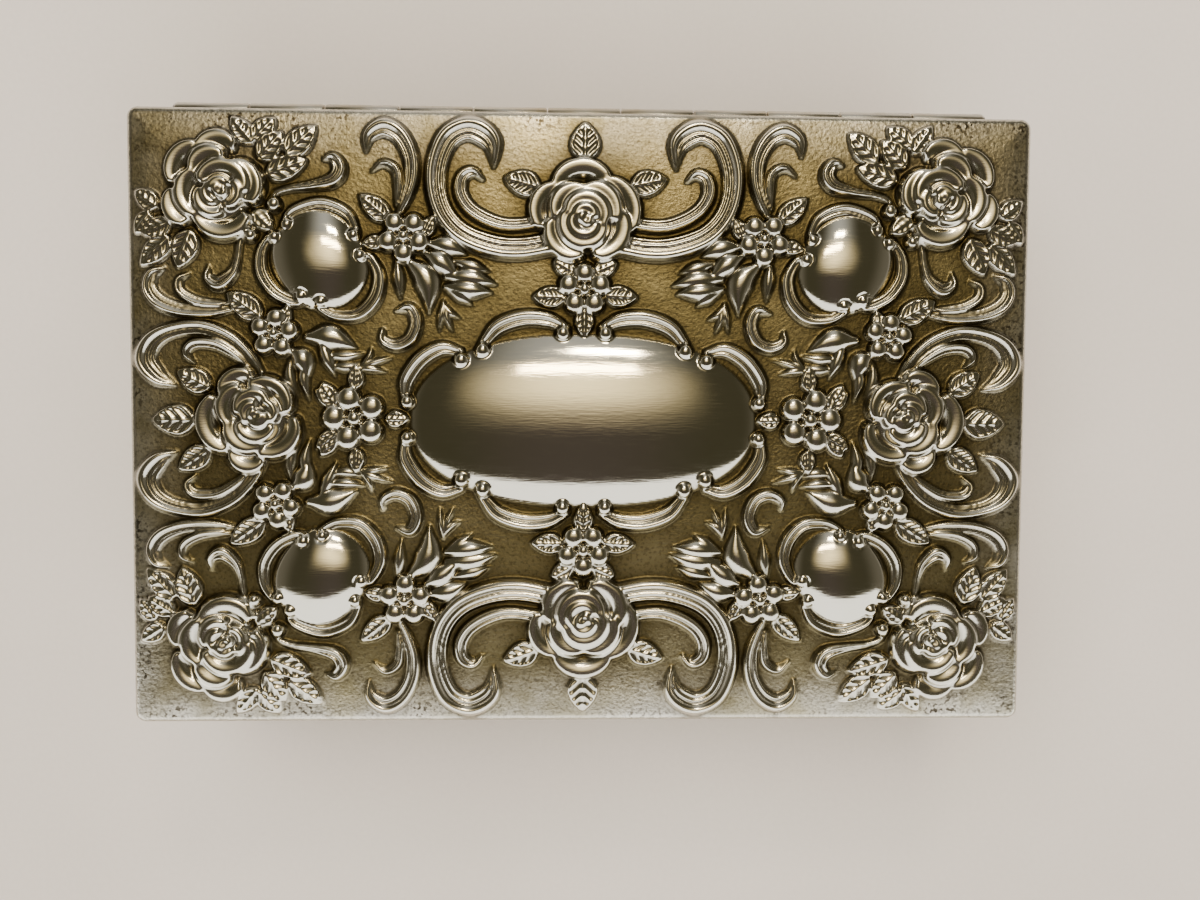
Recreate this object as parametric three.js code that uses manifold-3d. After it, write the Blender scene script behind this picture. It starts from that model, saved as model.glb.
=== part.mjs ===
// A silver plated jewellery box with a stamped rose and scroll lid, about 200 x 136 x 65 mm.
// Millimetres, +Z up. The box stands on its felt base with its lid closed, its hinge side to +Y,
// and the origin is on the rest plane under the middle of the box.

import * as THREE from 'three';
import { mergeVertices } from 'three/addons/utils/BufferGeometryUtils.js';
import Module from 'manifold-3d';

const wasm = await Module();
wasm.setup();

// ---------------------------------------------------------------- driving dimensions

const BOX_LENGTH = 200; // lid and body, left to right
const BOX_DEPTH = 136; // lid and body, front to back
const BODY_HEIGHT = 44; // rest plane to the rim of the body
const LID_HEIGHT = 16; // skirt of the lid, lower edge to the ground of its top
const SHEET = 1.2; // plated sheet of the lid and the walls
const CORNER_RADIUS = 2.4; // upright corners, outside
const LID_EDGE_RADIUS = 1.5; // rounding between the skirt and the top of the lid
const PARTING_GAP = 0.3; // lid skirt above the body rim
const FIT = 0.3; // clearance between two pieces that touch

const BEAD_PROJECTION = 0.9; // half round bead rolled into the foot of the walls
const BEAD_HEIGHT = 2.4;
const BEAD_INSET = 1.6; // lower edge of the walls to the bead

const FOOT_GAP = 0.5; // lower edge of the sheet above the rest plane
const BASE_FLANGE = 6; // lower edge of the walls, turned inwards to hold the base
const BASE_PLATE = 2; // thickness
const LINING_BOARD = 2.4; // velvet covered boards inside the walls
const LINING_LIP = 3; // how far the boards stand above the rim
const FLOOR_PAD = 3.2;

const LID_BOARD = 2; // thickness of the board behind the stamped top
const LID_PAD = 4;
const LID_PAD_MARGIN = 1.5; // from the inside of the skirt

const HINGE_AXIS_OFFSET = 2.6; // behind the back wall
const KNUCKLE_RADIUS = 2.1;
const PIN_RADIUS = 0.9;
const PIN_HEAD = 0.6;
const LEAF_THICKNESS = 0.8;
const LEAF_HEIGHT = 8; // axis to the free edge of a leaf
const KNUCKLE_COUNT = 11;
const HINGE_END_MARGIN = 6; // end of the hinge to the end of the box
const RIVET_COUNT = 5; // in each leaf
const RIVET_RADIUS = 0.8;
const RIVET_HEAD_RADIUS = 1.7;
const RIVET_HEAD_HEIGHT = 0.8;
const RIVET_HEIGHT = 5.2; // axis to the line of rivets
const RIVET_END_MARGIN = 22; // outer rivet to the end of the box

const ORNAMENT_MARGIN = 3; // plain border of the lid outside the ornament
const DOME_LENGTH = 76; // plain oval in the middle of the lid
const DOME_DEPTH = 37;
const DOME_HEIGHT = 4.2;
const CARTOUCHE_DIAMETER = 25; // four plain round domes
const CARTOUCHE_HEIGHT = 3.4;
const ROSE_HEIGHT = 4.2;
const CORNER_ROSE_RADIUS = 11.5;
const MIDDLE_ROSE_RADIUS = 10;
const SIDE_ROSE_RADIUS = 11;
const RELIEF_ROOT = 0.6; // how deep the ornament roots in the sheet
const THIN_SCROLL = 1.15; // scrolls below this radius get a plain four sided section

// ---------------------------------------------------------------- worked out from them

const RIM_Z = BODY_HEIGHT;
const LID_BOTTOM = RIM_Z + PARTING_GAP;
const GROUND_Z = LID_BOTTOM + LID_HEIGHT;
const INNER_LENGTH = BOX_LENGTH - 2 * SHEET;
const INNER_DEPTH = BOX_DEPTH - 2 * SHEET;
const INNER_RADIUS = Math.max(CORNER_RADIUS - SHEET, 0.4);
const FLANGE_TOP = FOOT_GAP + SHEET;
const PLATE_BOTTOM = FLANGE_TOP + FIT;
const PLATE_TOP = PLATE_BOTTOM + BASE_PLATE;
const LINING_BOTTOM = PLATE_TOP + FIT;
const LINING_TOP = RIM_Z + LINING_LIP;
const AXIS_Y = BOX_DEPTH / 2 + HINGE_AXIS_OFFSET;
const AXIS_Z = RIM_Z + PARTING_GAP / 2;
const HINGE_LENGTH = BOX_LENGTH - 2 * HINGE_END_MARGIN;
const FIELD_X = BOX_LENGTH / 2 - ORNAMENT_MARGIN;
const FIELD_Y = BOX_DEPTH / 2 - ORNAMENT_MARGIN;

// ---------------------------------------------------------------- materials

const finish = (color, roughness, metalness) => () =>
  new THREE.MeshStandardMaterial({ color, roughness, metalness });
const antiqueSilver = finish(0x9c9481, 0.32, 1);
const silver = finish(0xb9b6ad, 0.28, 1);
const steel = finish(0xa3a3a0, 0.35, 1);
const velvet = finish(0x1d2352, 0.95, 0);
const felt = finish(0x23231f, 0.98, 0);
const fibreboard = finish(0x8a6b48, 0.85, 0);

// ---------------------------------------------------------------- solids

function toSolid(geometry) {
  const bare = geometry.clone();
  bare.deleteAttribute('normal');
  bare.deleteAttribute('uv');
  const merged = mergeVertices(bare);
  const corners = merged.index.array;
  const kept = [];
  for (let i = 0; i < corners.length; i += 3) {
    const [a, b, c] = [corners[i], corners[i + 1], corners[i + 2]];
    if (a !== b && b !== c && c !== a) kept.push(a, b, c);
  }
  const vertProperties = new Float32Array(merged.attributes.position.array);
  const mesh = new wasm.Mesh({ numProp: 3, vertProperties, triVerts: new Uint32Array(kept) });
  return new wasm.Manifold(mesh);
}

function toGeometry(solid) {
  const mesh = solid.getMesh();
  const geometry = new THREE.BufferGeometry();
  geometry.setAttribute('position', new THREE.BufferAttribute(mesh.vertProperties, 3));
  geometry.setIndex(new THREE.BufferAttribute(mesh.triVerts, 1));
  geometry.computeVertexNormals();
  return geometry;
}

function joined(solids) {
  return solids.reduce((total, solid) => total.add(solid));
}

function roundedRectangle(length, depth, radius) {
  const [x, y] = [length / 2 - radius, depth / 2 - radius];
  const shape = new THREE.Shape();
  shape.absarc(x, -y, radius, -Math.PI / 2, 0);
  shape.absarc(x, y, radius, 0, Math.PI / 2);
  shape.absarc(-x, y, radius, Math.PI / 2, Math.PI);
  shape.absarc(-x, -y, radius, Math.PI, 1.5 * Math.PI);
  shape.closePath();
  return shape;
}

// A flat slab with rounded upright corners, between two heights.
function slab(length, depth, radius, bottom, top) {
  const geometry = new THREE.ExtrudeGeometry(roundedRectangle(length, depth, radius), {
    depth: top - bottom,
    bevelEnabled: false,
    curveSegments: 4,
  });
  return geometry.translate(0, 0, bottom);
}

// The same slab with its upper and lower edges rounded too.
function softSlab(length, depth, radius, bottom, top, edge) {
  const geometry = new THREE.ExtrudeGeometry(roundedRectangle(length, depth, radius), {
    depth: top - bottom - 2 * edge,
    bevelThickness: edge,
    bevelSize: edge,
    bevelOffset: -edge,
    bevelSegments: 3,
    curveSegments: 4,
  });
  return geometry.translate(0, 0, bottom + edge);
}

// A box between two corners.
function block(x0, x1, y0, y1, z0, z1) {
  const geometry = new THREE.BoxGeometry(x1 - x0, y1 - y0, z1 - z0);
  return geometry.translate((x0 + x1) / 2, (y0 + y1) / 2, (z0 + z1) / 2);
}

// A round bar along X or Y between two places on that axis.
function bar(axis, from, to, radius, x, y, z, sides = 12) {
  const geometry = new THREE.CylinderGeometry(radius, radius, to - from, sides);
  if (axis === 'x') geometry.rotateZ(Math.PI / 2);
  const middle = (from + to) / 2;
  return geometry.translate(axis === 'x' ? middle : x, axis === 'y' ? middle : y, z);
}

function addPiece(group, name, geometry, material) {
  const mesh = new THREE.Mesh(geometry, material());
  mesh.name = name;
  group.add(mesh);
}

// ---------------------------------------------------------------- ornament of the lid

// Places on the ornamented field of the lid, as shares of its half length and half depth.
const place = ([u, v], z = 0) => new THREE.Vector3(u * FIELD_X, v * FIELD_Y, z);

// A raised scroll: a round bar bent through a few places, half sunk in the ground.
function scroll(places, radius) {
  const path = new THREE.CatmullRomCurve3(places.map((at) => place(at)), false, 'centripetal');
  const section = new THREE.Shape().absarc(0, 0, radius, 0, 2 * Math.PI);
  const steps = places.length + 1;
  const curveSegments = radius < THIN_SCROLL ? 2 : 3;
  return new THREE.ExtrudeGeometry(section, { steps, extrudePath: path, curveSegments });
}

// A swelling of the sheet: an ellipsoid half sunk in the ground, turned by an angle.
function swelling(at, length, depth, height, angle = 0, around = 8, rings = 4) {
  const geometry = new THREE.SphereGeometry(1, around, rings).rotateX(Math.PI / 2);
  const centre = place(at);
  geometry.scale(length / 2, depth / 2, height);
  return geometry.rotateZ(angle).translate(centre.x, centre.y, 0);
}

// A rose: rings of petals stepping up to a bud, as shares of its radius and height.
function rose(at, radius) {
  const steps = [[1, 0.1], [0.93, 0.5], [0.72, 0.42], [0.66, 0.78], [0.42, 0.68], [0.36, 1], [0, 0.9]];
  const outline = steps.map(([r, h]) => new THREE.Vector2(r * radius, h * ROSE_HEIGHT));
  outline.unshift(new THREE.Vector2(0, -RELIEF_ROOT), new THREE.Vector2(radius, -RELIEF_ROOT));
  const centre = place(at);
  return new THREE.LatheGeometry(outline, 12).rotateX(Math.PI / 2).translate(centre.x, centre.y, 0);
}

// One quarter of the pattern, repeated in all four quarters of the lid.
const QUARTER_SCROLLS = [
  // frame of the middle dome
  [[[0.04, 0.29], [0.14, 0.36], [0.22, 0.32], [0.245, 0.24]], 1.3],
  [[[0.29, 0.21], [0.37, 0.22], [0.42, 0.12], [0.405, 0.06]], 1.3],
  // frame of the round dome
  [[[0.67, 0.65], [0.6, 0.73], [0.53, 0.7], [0.51, 0.62]], 1.2],
  [[[0.695, 0.6], [0.735, 0.5], [0.71, 0.42], [0.635, 0.4]], 1.2],
  [[[0.59, 0.38], [0.51, 0.37], [0.465, 0.45], [0.515, 0.56]], 1.2],
  // large scrolls beside the middle rose, and the smaller pair next to them
  [[[0.19, 0.88], [0.245, 0.99], [0.33, 0.92], [0.34, 0.74], [0.28, 0.62], [0.1, 0.58]], 1.9],
  [[[0.24, 0.82], [0.28, 0.84], [0.28, 0.72], [0.2, 0.66], [0.1, 0.66]], 1.1],
  [[[0.49, 0.92], [0.45, 1.0], [0.39, 0.95], [0.38, 0.83], [0.42, 0.71]], 1.6],
  [[[0.48, 0.84], [0.44, 0.86], [0.41, 0.8]], 0.9],
  // scrolls above and below the side rose
  [[[0.93, 0.13], [0.99, 0.2], [0.95, 0.29], [0.85, 0.31], [0.77, 0.26], [0.73, 0.17]], 1.6],
  [[[0.88, 0.21], [0.86, 0.26], [0.79, 0.23], [0.76, 0.18]], 0.9],
  [[[0.93, 0.49], [0.98, 0.45], [0.92, 0.38], [0.8, 0.36]], 1.1],
  // scrolls that lead from the round dome to the corner rose
  [[[0.56, 0.88], [0.54, 0.83], [0.6, 0.79], [0.7, 0.72]], 1.3],
  [[[0.75, 0.64], [0.775, 0.59], [0.78, 0.51], [0.82, 0.46], [0.85, 0.5]], 0.9],
];
const QUARTER_LEAVES = [
  // place, length, width, angle in degrees from +X
  [[0.76, 0.95], 8, 4, 120],
  [[0.69, 0.93], 8, 4.4, 60],
  [[0.65, 0.87], 9, 4.6, 50],
  [[0.69, 0.82], 9, 4.6, 15],
  [[0.98, 0.75], 6, 3.6, 145],
  [[0.97, 0.64], 7, 4, 200],
  [[0.94, 0.55], 8, 4, 230],
  [[0.88, 0.55], 8, 4, 270],
  [[0.15, 0.82], 7, 4.2, 170],
  [[0.88, 0.14], 7, 4, 150],
  [[0.47, 0.71], 7, 3.4, 130],
  [[0.76, 0.4], 8, 4, 140],
  [[0.33, 0.57], 12, 4.4, 160],
  [[0.56, 0.26], 13, 4.6, 170],
  [[0.66, 0.2], 8, 3.6, 120],
];
const QUARTER_FLOWERS = [[[0.415, 0.62], 8], [[0.7, 0.28], 7]];
const LEAF_HEIGHT_ON_LID = 1.2;
const FLOWER_HEIGHT = 2.4;

function quarterOrnament() {
  const pieces = QUARTER_SCROLLS.map(([places, radius]) => scroll(places, radius));
  for (const [at, length, width, degrees] of QUARTER_LEAVES) {
    const angle = THREE.MathUtils.degToRad(degrees);
    pieces.push(swelling(at, length, width, LEAF_HEIGHT_ON_LID, angle, 8, 2));
  }
  for (const [at, size] of QUARTER_FLOWERS) pieces.push(swelling(at, size, size, FLOWER_HEIGHT));
  const round = CARTOUCHE_DIAMETER;
  pieces.push(swelling([0.6, 0.53], round, round, CARTOUCHE_HEIGHT, 0, 14, 6));
  pieces.push(rose([0.82, 0.78], CORNER_ROSE_RADIUS));
  return joined(pieces.map(toSolid));
}

function ornament() {
  const quarter = quarterOrnament();
  const half = quarter.add(quarter.mirror([1, 0, 0]));
  const middle = [
    swelling([0, 0], DOME_LENGTH, DOME_DEPTH, DOME_HEIGHT, 0, 24, 8),
    rose([0, 0.71], MIDDLE_ROSE_RADIUS),
    rose([0, -0.71], MIDDLE_ROSE_RADIUS),
    rose([0.74, 0], SIDE_ROSE_RADIUS),
    rose([-0.74, 0], SIDE_ROSE_RADIUS),
    swelling([0, 0.44], 10, 9, FLOWER_HEIGHT),
    swelling([0, -0.44], 10, 9, FLOWER_HEIGHT),
    swelling([0.52, 0], 11, 11, FLOWER_HEIGHT),
    swelling([-0.52, 0], 11, 11, FLOWER_HEIGHT),
    swelling([0, 0.95], 4.4, 8, LEAF_HEIGHT_ON_LID, 0, 8, 2),
    swelling([0, -0.95], 4.4, 8, LEAF_HEIGHT_ON_LID, 0, 8, 2),
    swelling([0.93, 0], 8, 4.4, LEAF_HEIGHT_ON_LID, 0, 8, 2),
    swelling([-0.93, 0], 8, 4.4, LEAF_HEIGHT_ON_LID, 0, 8, 2),
  ].map(toSolid);
  const whole = joined([half, half.mirror([0, 1, 0]), ...middle]);
  const above = toSolid(slab(BOX_LENGTH, BOX_DEPTH, CORNER_RADIUS, -RELIEF_ROOT, 2 * DOME_HEIGHT));
  return whole.intersect(above).translate([0, 0, GROUND_Z]);
}

// ---------------------------------------------------------------- hinge

const rivetPlaces = [];
for (let i = 0; i < RIVET_COUNT; i += 1) {
  const share = i / (RIVET_COUNT - 1) - 0.5;
  rivetPlaces.push(share * (BOX_LENGTH - 2 * RIVET_END_MARGIN));
}
const LEAF_FRONT = BOX_DEPTH / 2 + FIT;
const LEAF_BACK = LEAF_FRONT + LEAF_THICKNESS;
const HOLE_RADIUS = RIVET_RADIUS + FIT;

// Holes for one row of rivets, above the axis (side 1) or below it (side -1).
function rivetHoles(side) {
  const z = AXIS_Z + side * RIVET_HEIGHT;
  const [from, to] = [BOX_DEPTH / 2 - 2 * SHEET, LEAF_BACK + FIT];
  return joined(rivetPlaces.map((x) => toSolid(bar('y', from, to, HOLE_RADIUS, x, 0, z))));
}

// A leaf with its share of the knuckles: side 1 goes to the lid and side -1 to the body.
function hingeLeaf(side) {
  const knuckleLength = HINGE_LENGTH / KNUCKLE_COUNT;
  const reach = KNUCKLE_RADIUS + FIT;
  const away = AXIS_Y - LEAF_BACK;
  const plateStart = Math.sqrt(Math.max(reach * reach - away * away, 0)) + FIT / 2;
  const at = (near, far) => [AXIS_Z + side * near, AXIS_Z + side * far].sort((a, b) => a - b);
  const end = HINGE_LENGTH / 2 - FIT / 2;
  const pieces = [block(-end, end, LEAF_FRONT, LEAF_BACK, ...at(plateStart, LEAF_HEIGHT))];
  const bores = [];
  for (let i = side > 0 ? 1 : 0; i < KNUCKLE_COUNT; i += 2) {
    const from = -HINGE_LENGTH / 2 + i * knuckleLength + FIT / 2;
    const to = from + knuckleLength - FIT;
    pieces.push(bar('x', from, to, KNUCKLE_RADIUS, 0, AXIS_Y, AXIS_Z, 14));
    pieces.push(block(from, to, LEAF_FRONT, LEAF_BACK, ...at(0, plateStart + FIT)));
    bores.push(bar('x', from - FIT, to + FIT, PIN_RADIUS + FIT, 0, AXIS_Y, AXIS_Z, 14));
  }
  const leaf = joined(pieces.map(toSolid)).subtract(joined(bores.map(toSolid)));
  return toGeometry(leaf.subtract(rivetHoles(side)));
}

function hingePin() {
  const end = HINGE_LENGTH / 2 + FIT;
  const pin = toSolid(bar('x', -end, end, PIN_RADIUS, 0, AXIS_Y, AXIS_Z, 14));
  const heads = [-1, 1].map((side) => {
    const [near, far] = [side * end, side * (end + PIN_HEAD)].sort((a, b) => a - b);
    return toSolid(bar('x', near, far, KNUCKLE_RADIUS * 0.8, 0, AXIS_Y, AXIS_Z, 14));
  });
  return toGeometry(joined([pin, ...heads]));
}

// A rivet through a leaf and the sheet behind it, with a low round head outside.
function rivet(x, side) {
  const shank = LEAF_BACK + FIT - (BOX_DEPTH / 2 - SHEET);
  const outline = [
    [0, -shank],
    [RIVET_RADIUS, -shank],
    [RIVET_RADIUS, 0],
    [RIVET_HEAD_RADIUS, 0],
    [RIVET_HEAD_RADIUS * 0.85, RIVET_HEAD_HEIGHT * 0.6],
    [RIVET_HEAD_RADIUS * 0.45, RIVET_HEAD_HEIGHT * 0.93],
    [0, RIVET_HEAD_HEIGHT],
  ].map(([r, y]) => new THREE.Vector2(r, y));
  return new THREE.LatheGeometry(outline, 12).translate(x, LEAF_BACK + FIT, AXIS_Z + side * RIVET_HEIGHT);
}

// ---------------------------------------------------------------- body and lid

function bodyShell() {
  const outside = toSolid(slab(BOX_LENGTH, BOX_DEPTH, CORNER_RADIUS, FOOT_GAP, RIM_Z));
  const inside = toSolid(slab(INNER_LENGTH, INNER_DEPTH, INNER_RADIUS, FLANGE_TOP, RIM_Z + SHEET));
  const openingSize = [INNER_LENGTH - 2 * BASE_FLANGE, INNER_DEPTH - 2 * BASE_FLANGE];
  const opening = toSolid(slab(...openingSize, INNER_RADIUS, FOOT_GAP - SHEET, FLANGE_TOP + SHEET));
  const lowBead = FOOT_GAP + BEAD_INSET;
  const shell = outside.add(bead(lowBead)).subtract(inside).subtract(opening);
  return toGeometry(shell.subtract(rivetHoles(-1)));
}

// A half round bead that runs round the walls, from its lower edge.
function bead(bottom) {
  const [length, depth] = [BOX_LENGTH + 2 * BEAD_PROJECTION, BOX_DEPTH + 2 * BEAD_PROJECTION];
  const radius = CORNER_RADIUS + BEAD_PROJECTION;
  return toSolid(softSlab(length, depth, radius, bottom, bottom + BEAD_HEIGHT, BEAD_PROJECTION));
}

function lidShell() {
  const below = LID_BOTTOM - 2 * LID_EDGE_RADIUS;
  const tall = toSolid(softSlab(BOX_LENGTH, BOX_DEPTH, CORNER_RADIUS, below, GROUND_Z, LID_EDGE_RADIUS));
  const outside = tall.intersect(toSolid(slab(BOX_LENGTH, BOX_DEPTH, CORNER_RADIUS, LID_BOTTOM, GROUND_Z)));
  const inside = toSolid(slab(INNER_LENGTH, INNER_DEPTH, INNER_RADIUS, below, GROUND_Z - SHEET));
  return toGeometry(outside.add(ornament()).subtract(inside).subtract(rivetHoles(1)));
}

// A flat piece inside the walls, set in from their inner faces by a margin.
function insidePiece(margin, bottom, top) {
  const radius = Math.max(INNER_RADIUS - margin, 0.3);
  return slab(INNER_LENGTH - 2 * margin, INNER_DEPTH - 2 * margin, radius, bottom, top);
}

// ---------------------------------------------------------------- assembly

const box = new THREE.Group();
const body = new THREE.Group();
const lid = new THREE.Group();
box.add(body, lid);

addPiece(body, 'body_shell', bodyShell(), antiqueSilver);
addPiece(body, 'base_plate', insidePiece(FIT, PLATE_BOTTOM, PLATE_TOP), fibreboard);
addPiece(body, 'felt_base_pad', insidePiece(BASE_FLANGE + FIT, 0, PLATE_BOTTOM - FIT), felt);

// Velvet covered boards: the long ones fill the corners and the short ones stand between them.
const outerX = INNER_LENGTH / 2;
const boardY = INNER_DEPTH / 2 - FIT - LINING_BOARD;
const boardX = INNER_LENGTH / 2 - FIT - LINING_BOARD;
const shortReach = boardY - FIT;
const boards = [
  ['lining_back', -outerX, outerX, boardY, INNER_DEPTH / 2],
  ['lining_front', -outerX, outerX, -INNER_DEPTH / 2, -boardY],
  ['lining_right', boardX, outerX, -shortReach, shortReach],
  ['lining_left', -outerX, -boardX, -shortReach, shortReach],
];
const liningRing = toSolid(insidePiece(FIT, LINING_BOTTOM, LINING_TOP));
for (const [name, ...sides] of boards) {
  const board = liningRing.intersect(toSolid(block(...sides, LINING_BOTTOM, LINING_TOP)));
  addPiece(body, name, toGeometry(board), velvet);
}
const floorMargin = FIT + LINING_BOARD + FIT;
addPiece(body, 'lining_floor', insidePiece(floorMargin, LINING_BOTTOM, LINING_BOTTOM + FLOOR_PAD), velvet);

addPiece(body, 'body_hinge_leaf', hingeLeaf(-1), silver);
addPiece(body, 'hinge_pin', hingePin(), steel);
addPiece(lid, 'lid_hinge_leaf', hingeLeaf(1), silver);
rivetPlaces.forEach((x, i) => {
  addPiece(body, `body_hinge_rivet_${i + 1}`, rivet(x, -1), silver);
  addPiece(lid, `lid_hinge_rivet_${i + 1}`, rivet(x, 1), silver);
});

const boardTop = GROUND_Z - SHEET - FIT;
const padTop = boardTop - LID_BOARD - FIT;
addPiece(lid, 'lid_shell', lidShell(), antiqueSilver);
addPiece(lid, 'lid_back_board', insidePiece(FIT, boardTop - LID_BOARD, boardTop), fibreboard);
addPiece(lid, 'lid_velvet_pad', insidePiece(LID_PAD_MARGIN, padTop - LID_PAD, padTop), velvet);

export default box;
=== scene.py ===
# %% [markdown]
# # A silver plated trinket box with a stamped lid
# The lid of this box is one thin sheet of plated brass, pressed into a die, so that roses, scrolls and
# smooth domes stand a few millimetres above its ground. The maker then darkens the whole lid and rubs the
# high places bright again. This lesson builds that lid as a relief on a fine grid, then the walls, the
# hinge, and the velvet inside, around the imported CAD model.

import math

import bmesh
import bpy
import numpy as np
from mathutils import Matrix, Vector


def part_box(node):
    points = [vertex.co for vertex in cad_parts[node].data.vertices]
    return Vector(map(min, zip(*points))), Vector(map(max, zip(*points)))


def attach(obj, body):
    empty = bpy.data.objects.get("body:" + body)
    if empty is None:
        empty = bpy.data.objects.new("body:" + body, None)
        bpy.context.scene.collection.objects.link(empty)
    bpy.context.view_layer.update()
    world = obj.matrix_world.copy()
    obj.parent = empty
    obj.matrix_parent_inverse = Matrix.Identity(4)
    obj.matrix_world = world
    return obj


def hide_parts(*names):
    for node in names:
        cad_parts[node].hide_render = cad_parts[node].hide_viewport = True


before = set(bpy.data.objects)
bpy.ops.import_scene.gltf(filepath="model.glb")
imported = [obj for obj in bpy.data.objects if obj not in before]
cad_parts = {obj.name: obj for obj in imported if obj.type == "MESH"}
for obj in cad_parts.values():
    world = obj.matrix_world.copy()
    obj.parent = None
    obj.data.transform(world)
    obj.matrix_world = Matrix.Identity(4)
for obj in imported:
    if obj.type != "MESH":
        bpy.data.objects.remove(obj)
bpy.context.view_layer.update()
MM = 0.001
rng = np.random.default_rng(7)

# %% [markdown]
# ## Sizes of the sheet
# The CAD model says how large the lid is. The stamped sheet lies 0.3 mm above the board behind it, and it
# is 1.2 mm thick, which gives the height of its ground: the plain level that the ornament rises from.

# %% Measure the lid
low, high = (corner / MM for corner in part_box("lid_shell"))
HALF_X, HALF_Y, LID_TOP = high
SHEET, GAP = 1.2, 0.3
CORNER = 2.4
EDGE_ROUND = 1.5
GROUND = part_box("lid_back_board")[1].z / MM + GAP + SHEET
LID_FOOT = low.z
print(f"lid {2 * HALF_X:.0f} x {2 * HALF_Y:.0f} mm, ground at {GROUND:.1f} mm")

# %% [markdown]
# ## The drawing board
# A stamping has no undercuts, so one height for each place on the lid describes it completely. The board is
# a grid of places 0.3 mm apart, a little finer than the veins of a leaf. Near the outline the places crowd
# together, because the sheet turns over there into the skirt.

# %% Lay out the grid
STEP = 0.3
ROUND_STEPS = 5


def places_across(half):
    flat = half - EDGE_ROUND
    turn = np.linspace(0, math.pi / 2, ROUND_STEPS + 1)[1:]
    rim = flat + EDGE_ROUND * np.sin(turn)
    return np.concatenate([-rim[::-1], np.linspace(-flat, flat, round(2 * flat / STEP) + 1), rim])


GX, GY = places_across(HALF_X), places_across(HALF_Y)
height = np.zeros((len(GY), len(GX)))
dome_share = np.zeros_like(height)
print(f"grid of {len(GX)} x {len(GY)} places")

# %% [markdown]
# ## Working in one quarter
# The pattern is nearly the same in all four quarters of the lid, so each ornament is described once, in the
# quarter at the upper left, and drawn through a mirror. A patch is the small part of the board around one
# ornament. Keeping to the patch makes every stamp quick.

# %% Patches and the mirror
QUARTERS = [(1, 1), (-1, 1), (1, -1), (-1, -1)]
mirror = [1, 1]


def look_through(quarter):
    mirror[:] = quarter


def patch(x, y, reach):
    x, y = x * mirror[0], y * mirror[1]
    across = slice(*np.searchsorted(GX, (x - reach, x + reach)))
    along = slice(*np.searchsorted(GY, (y - reach, y + reach)))
    dx = (GX[across][None, :] - x) * mirror[0]
    dy = (GY[along][:, None] - y) * mirror[1]
    dx, dy = np.broadcast_arrays(dx, dy)
    return (along, across), dx, dy


def ease(value, start, end):
    share = np.clip((value - start) / (end - start), 0, 1)
    return share * share * (3 - 2 * share)


def raise_to(where, new):
    height[where] = np.maximum(height[where], new)


def lay_over(where, new, cover):
    height[where] += (new - height[where]) * cover


print(f"a patch 10 mm across holds {patch(0, 0, 5)[1].size} places")

# %% [markdown]
# ## Sweeping a scroll
# A scroll is a band that bends through a few points and changes width on the way. Across the band run round
# ribs with grooves between them, which catch the light as long bright lines. Each place on the patch looks
# for the nearest point of the line, and its distance to the line says which rib it lies on.

# %% Smooth lines and ribs
ROLL = [(0, 1, 1)]
DOUBLE = [(-0.36, 0.64, 1), (0.62, 0.36, 0.68)]
TRIPLE = [(-0.42, 0.58, 1), (0.34, 0.2, 0.72), (0.78, 0.22, 0.62)]
TROUGH = 0.42


def smooth_line(points, per_span=26):
    knots = np.array(points, float)
    knots = np.vstack([2 * knots[0] - knots[1], knots, 2 * knots[-1] - knots[-2]])
    t = np.linspace(0, 1, per_span, endpoint=False)[:, None]
    spans = []
    for a, b, c, d in zip(knots, knots[1:], knots[2:], knots[3:]):
        spans.append(b + t * (c - a) / 2 + t**2 * (a - 2.5 * b + 2 * c - d / 2)
                     + t**3 * (1.5 * (b - c) + (d - a) / 2))
    return np.vstack(spans + [knots[-2][None, :]])


def across_band(s, ribs):
    rise = TROUGH * np.clip(1 - s**6, 0, 1)
    for centre, half, tall in ribs:
        rise = np.maximum(rise, tall * np.clip(1 - np.abs((s - centre) / half) ** 2.3, 0, 1))
    return rise


def sweep(points, ribs, top, side=1):
    line = smooth_line(points)
    xy, half = line[:, :2], np.maximum(line[:, 2], 0.05)
    middle = (xy.min(0) + xy.max(0)) / 2
    reach = (xy.max(0) - xy.min(0)).max() / 2 + half.max() + STEP
    where, dx, dy = patch(*middle, reach)
    here = np.stack([dx.ravel() + middle[0], dy.ravel() + middle[1]], 1)
    nearest = np.zeros(len(here), int)
    closest = np.full(len(here), np.inf)
    for i, point in enumerate(xy):
        distance = ((here - point) ** 2).sum(1)
        better = distance < closest
        nearest[better], closest[better] = i, distance[better]
    heading = np.gradient(xy, axis=0)
    heading /= np.linalg.norm(heading, axis=1)[:, None]
    off = here - xy[nearest]
    turn = heading[nearest]
    offset = turn[:, 0] * off[:, 1] - turn[:, 1] * off[:, 0]
    ends = (nearest == 0) | (nearest == len(xy) - 1)
    offset = np.where(ends, np.where(offset < 0, -1, 1) * np.sqrt(closest), offset)
    width = half[nearest]
    s = (side * offset / width).reshape(dx.shape)
    tall = top * (width / half.max()).reshape(dx.shape) ** 0.55
    raise_to(where, tall * across_band(s, ribs))


print("3 points become a line of", len(smooth_line([(0, 0, 1), (5, 0, 1), (9, 3, 1)])), "points")

# %% [markdown]
# ## Leaves
# A leaf is a pointed oval with a thin raised rim, a rib down its middle and slanting veins. The sheet
# between them stays low, and it will hold the dark finish. The leaf covers what it is laid on, as a later
# blow of the punch would.

# %% Stamp a leaf
VEINS = 4.2


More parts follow.
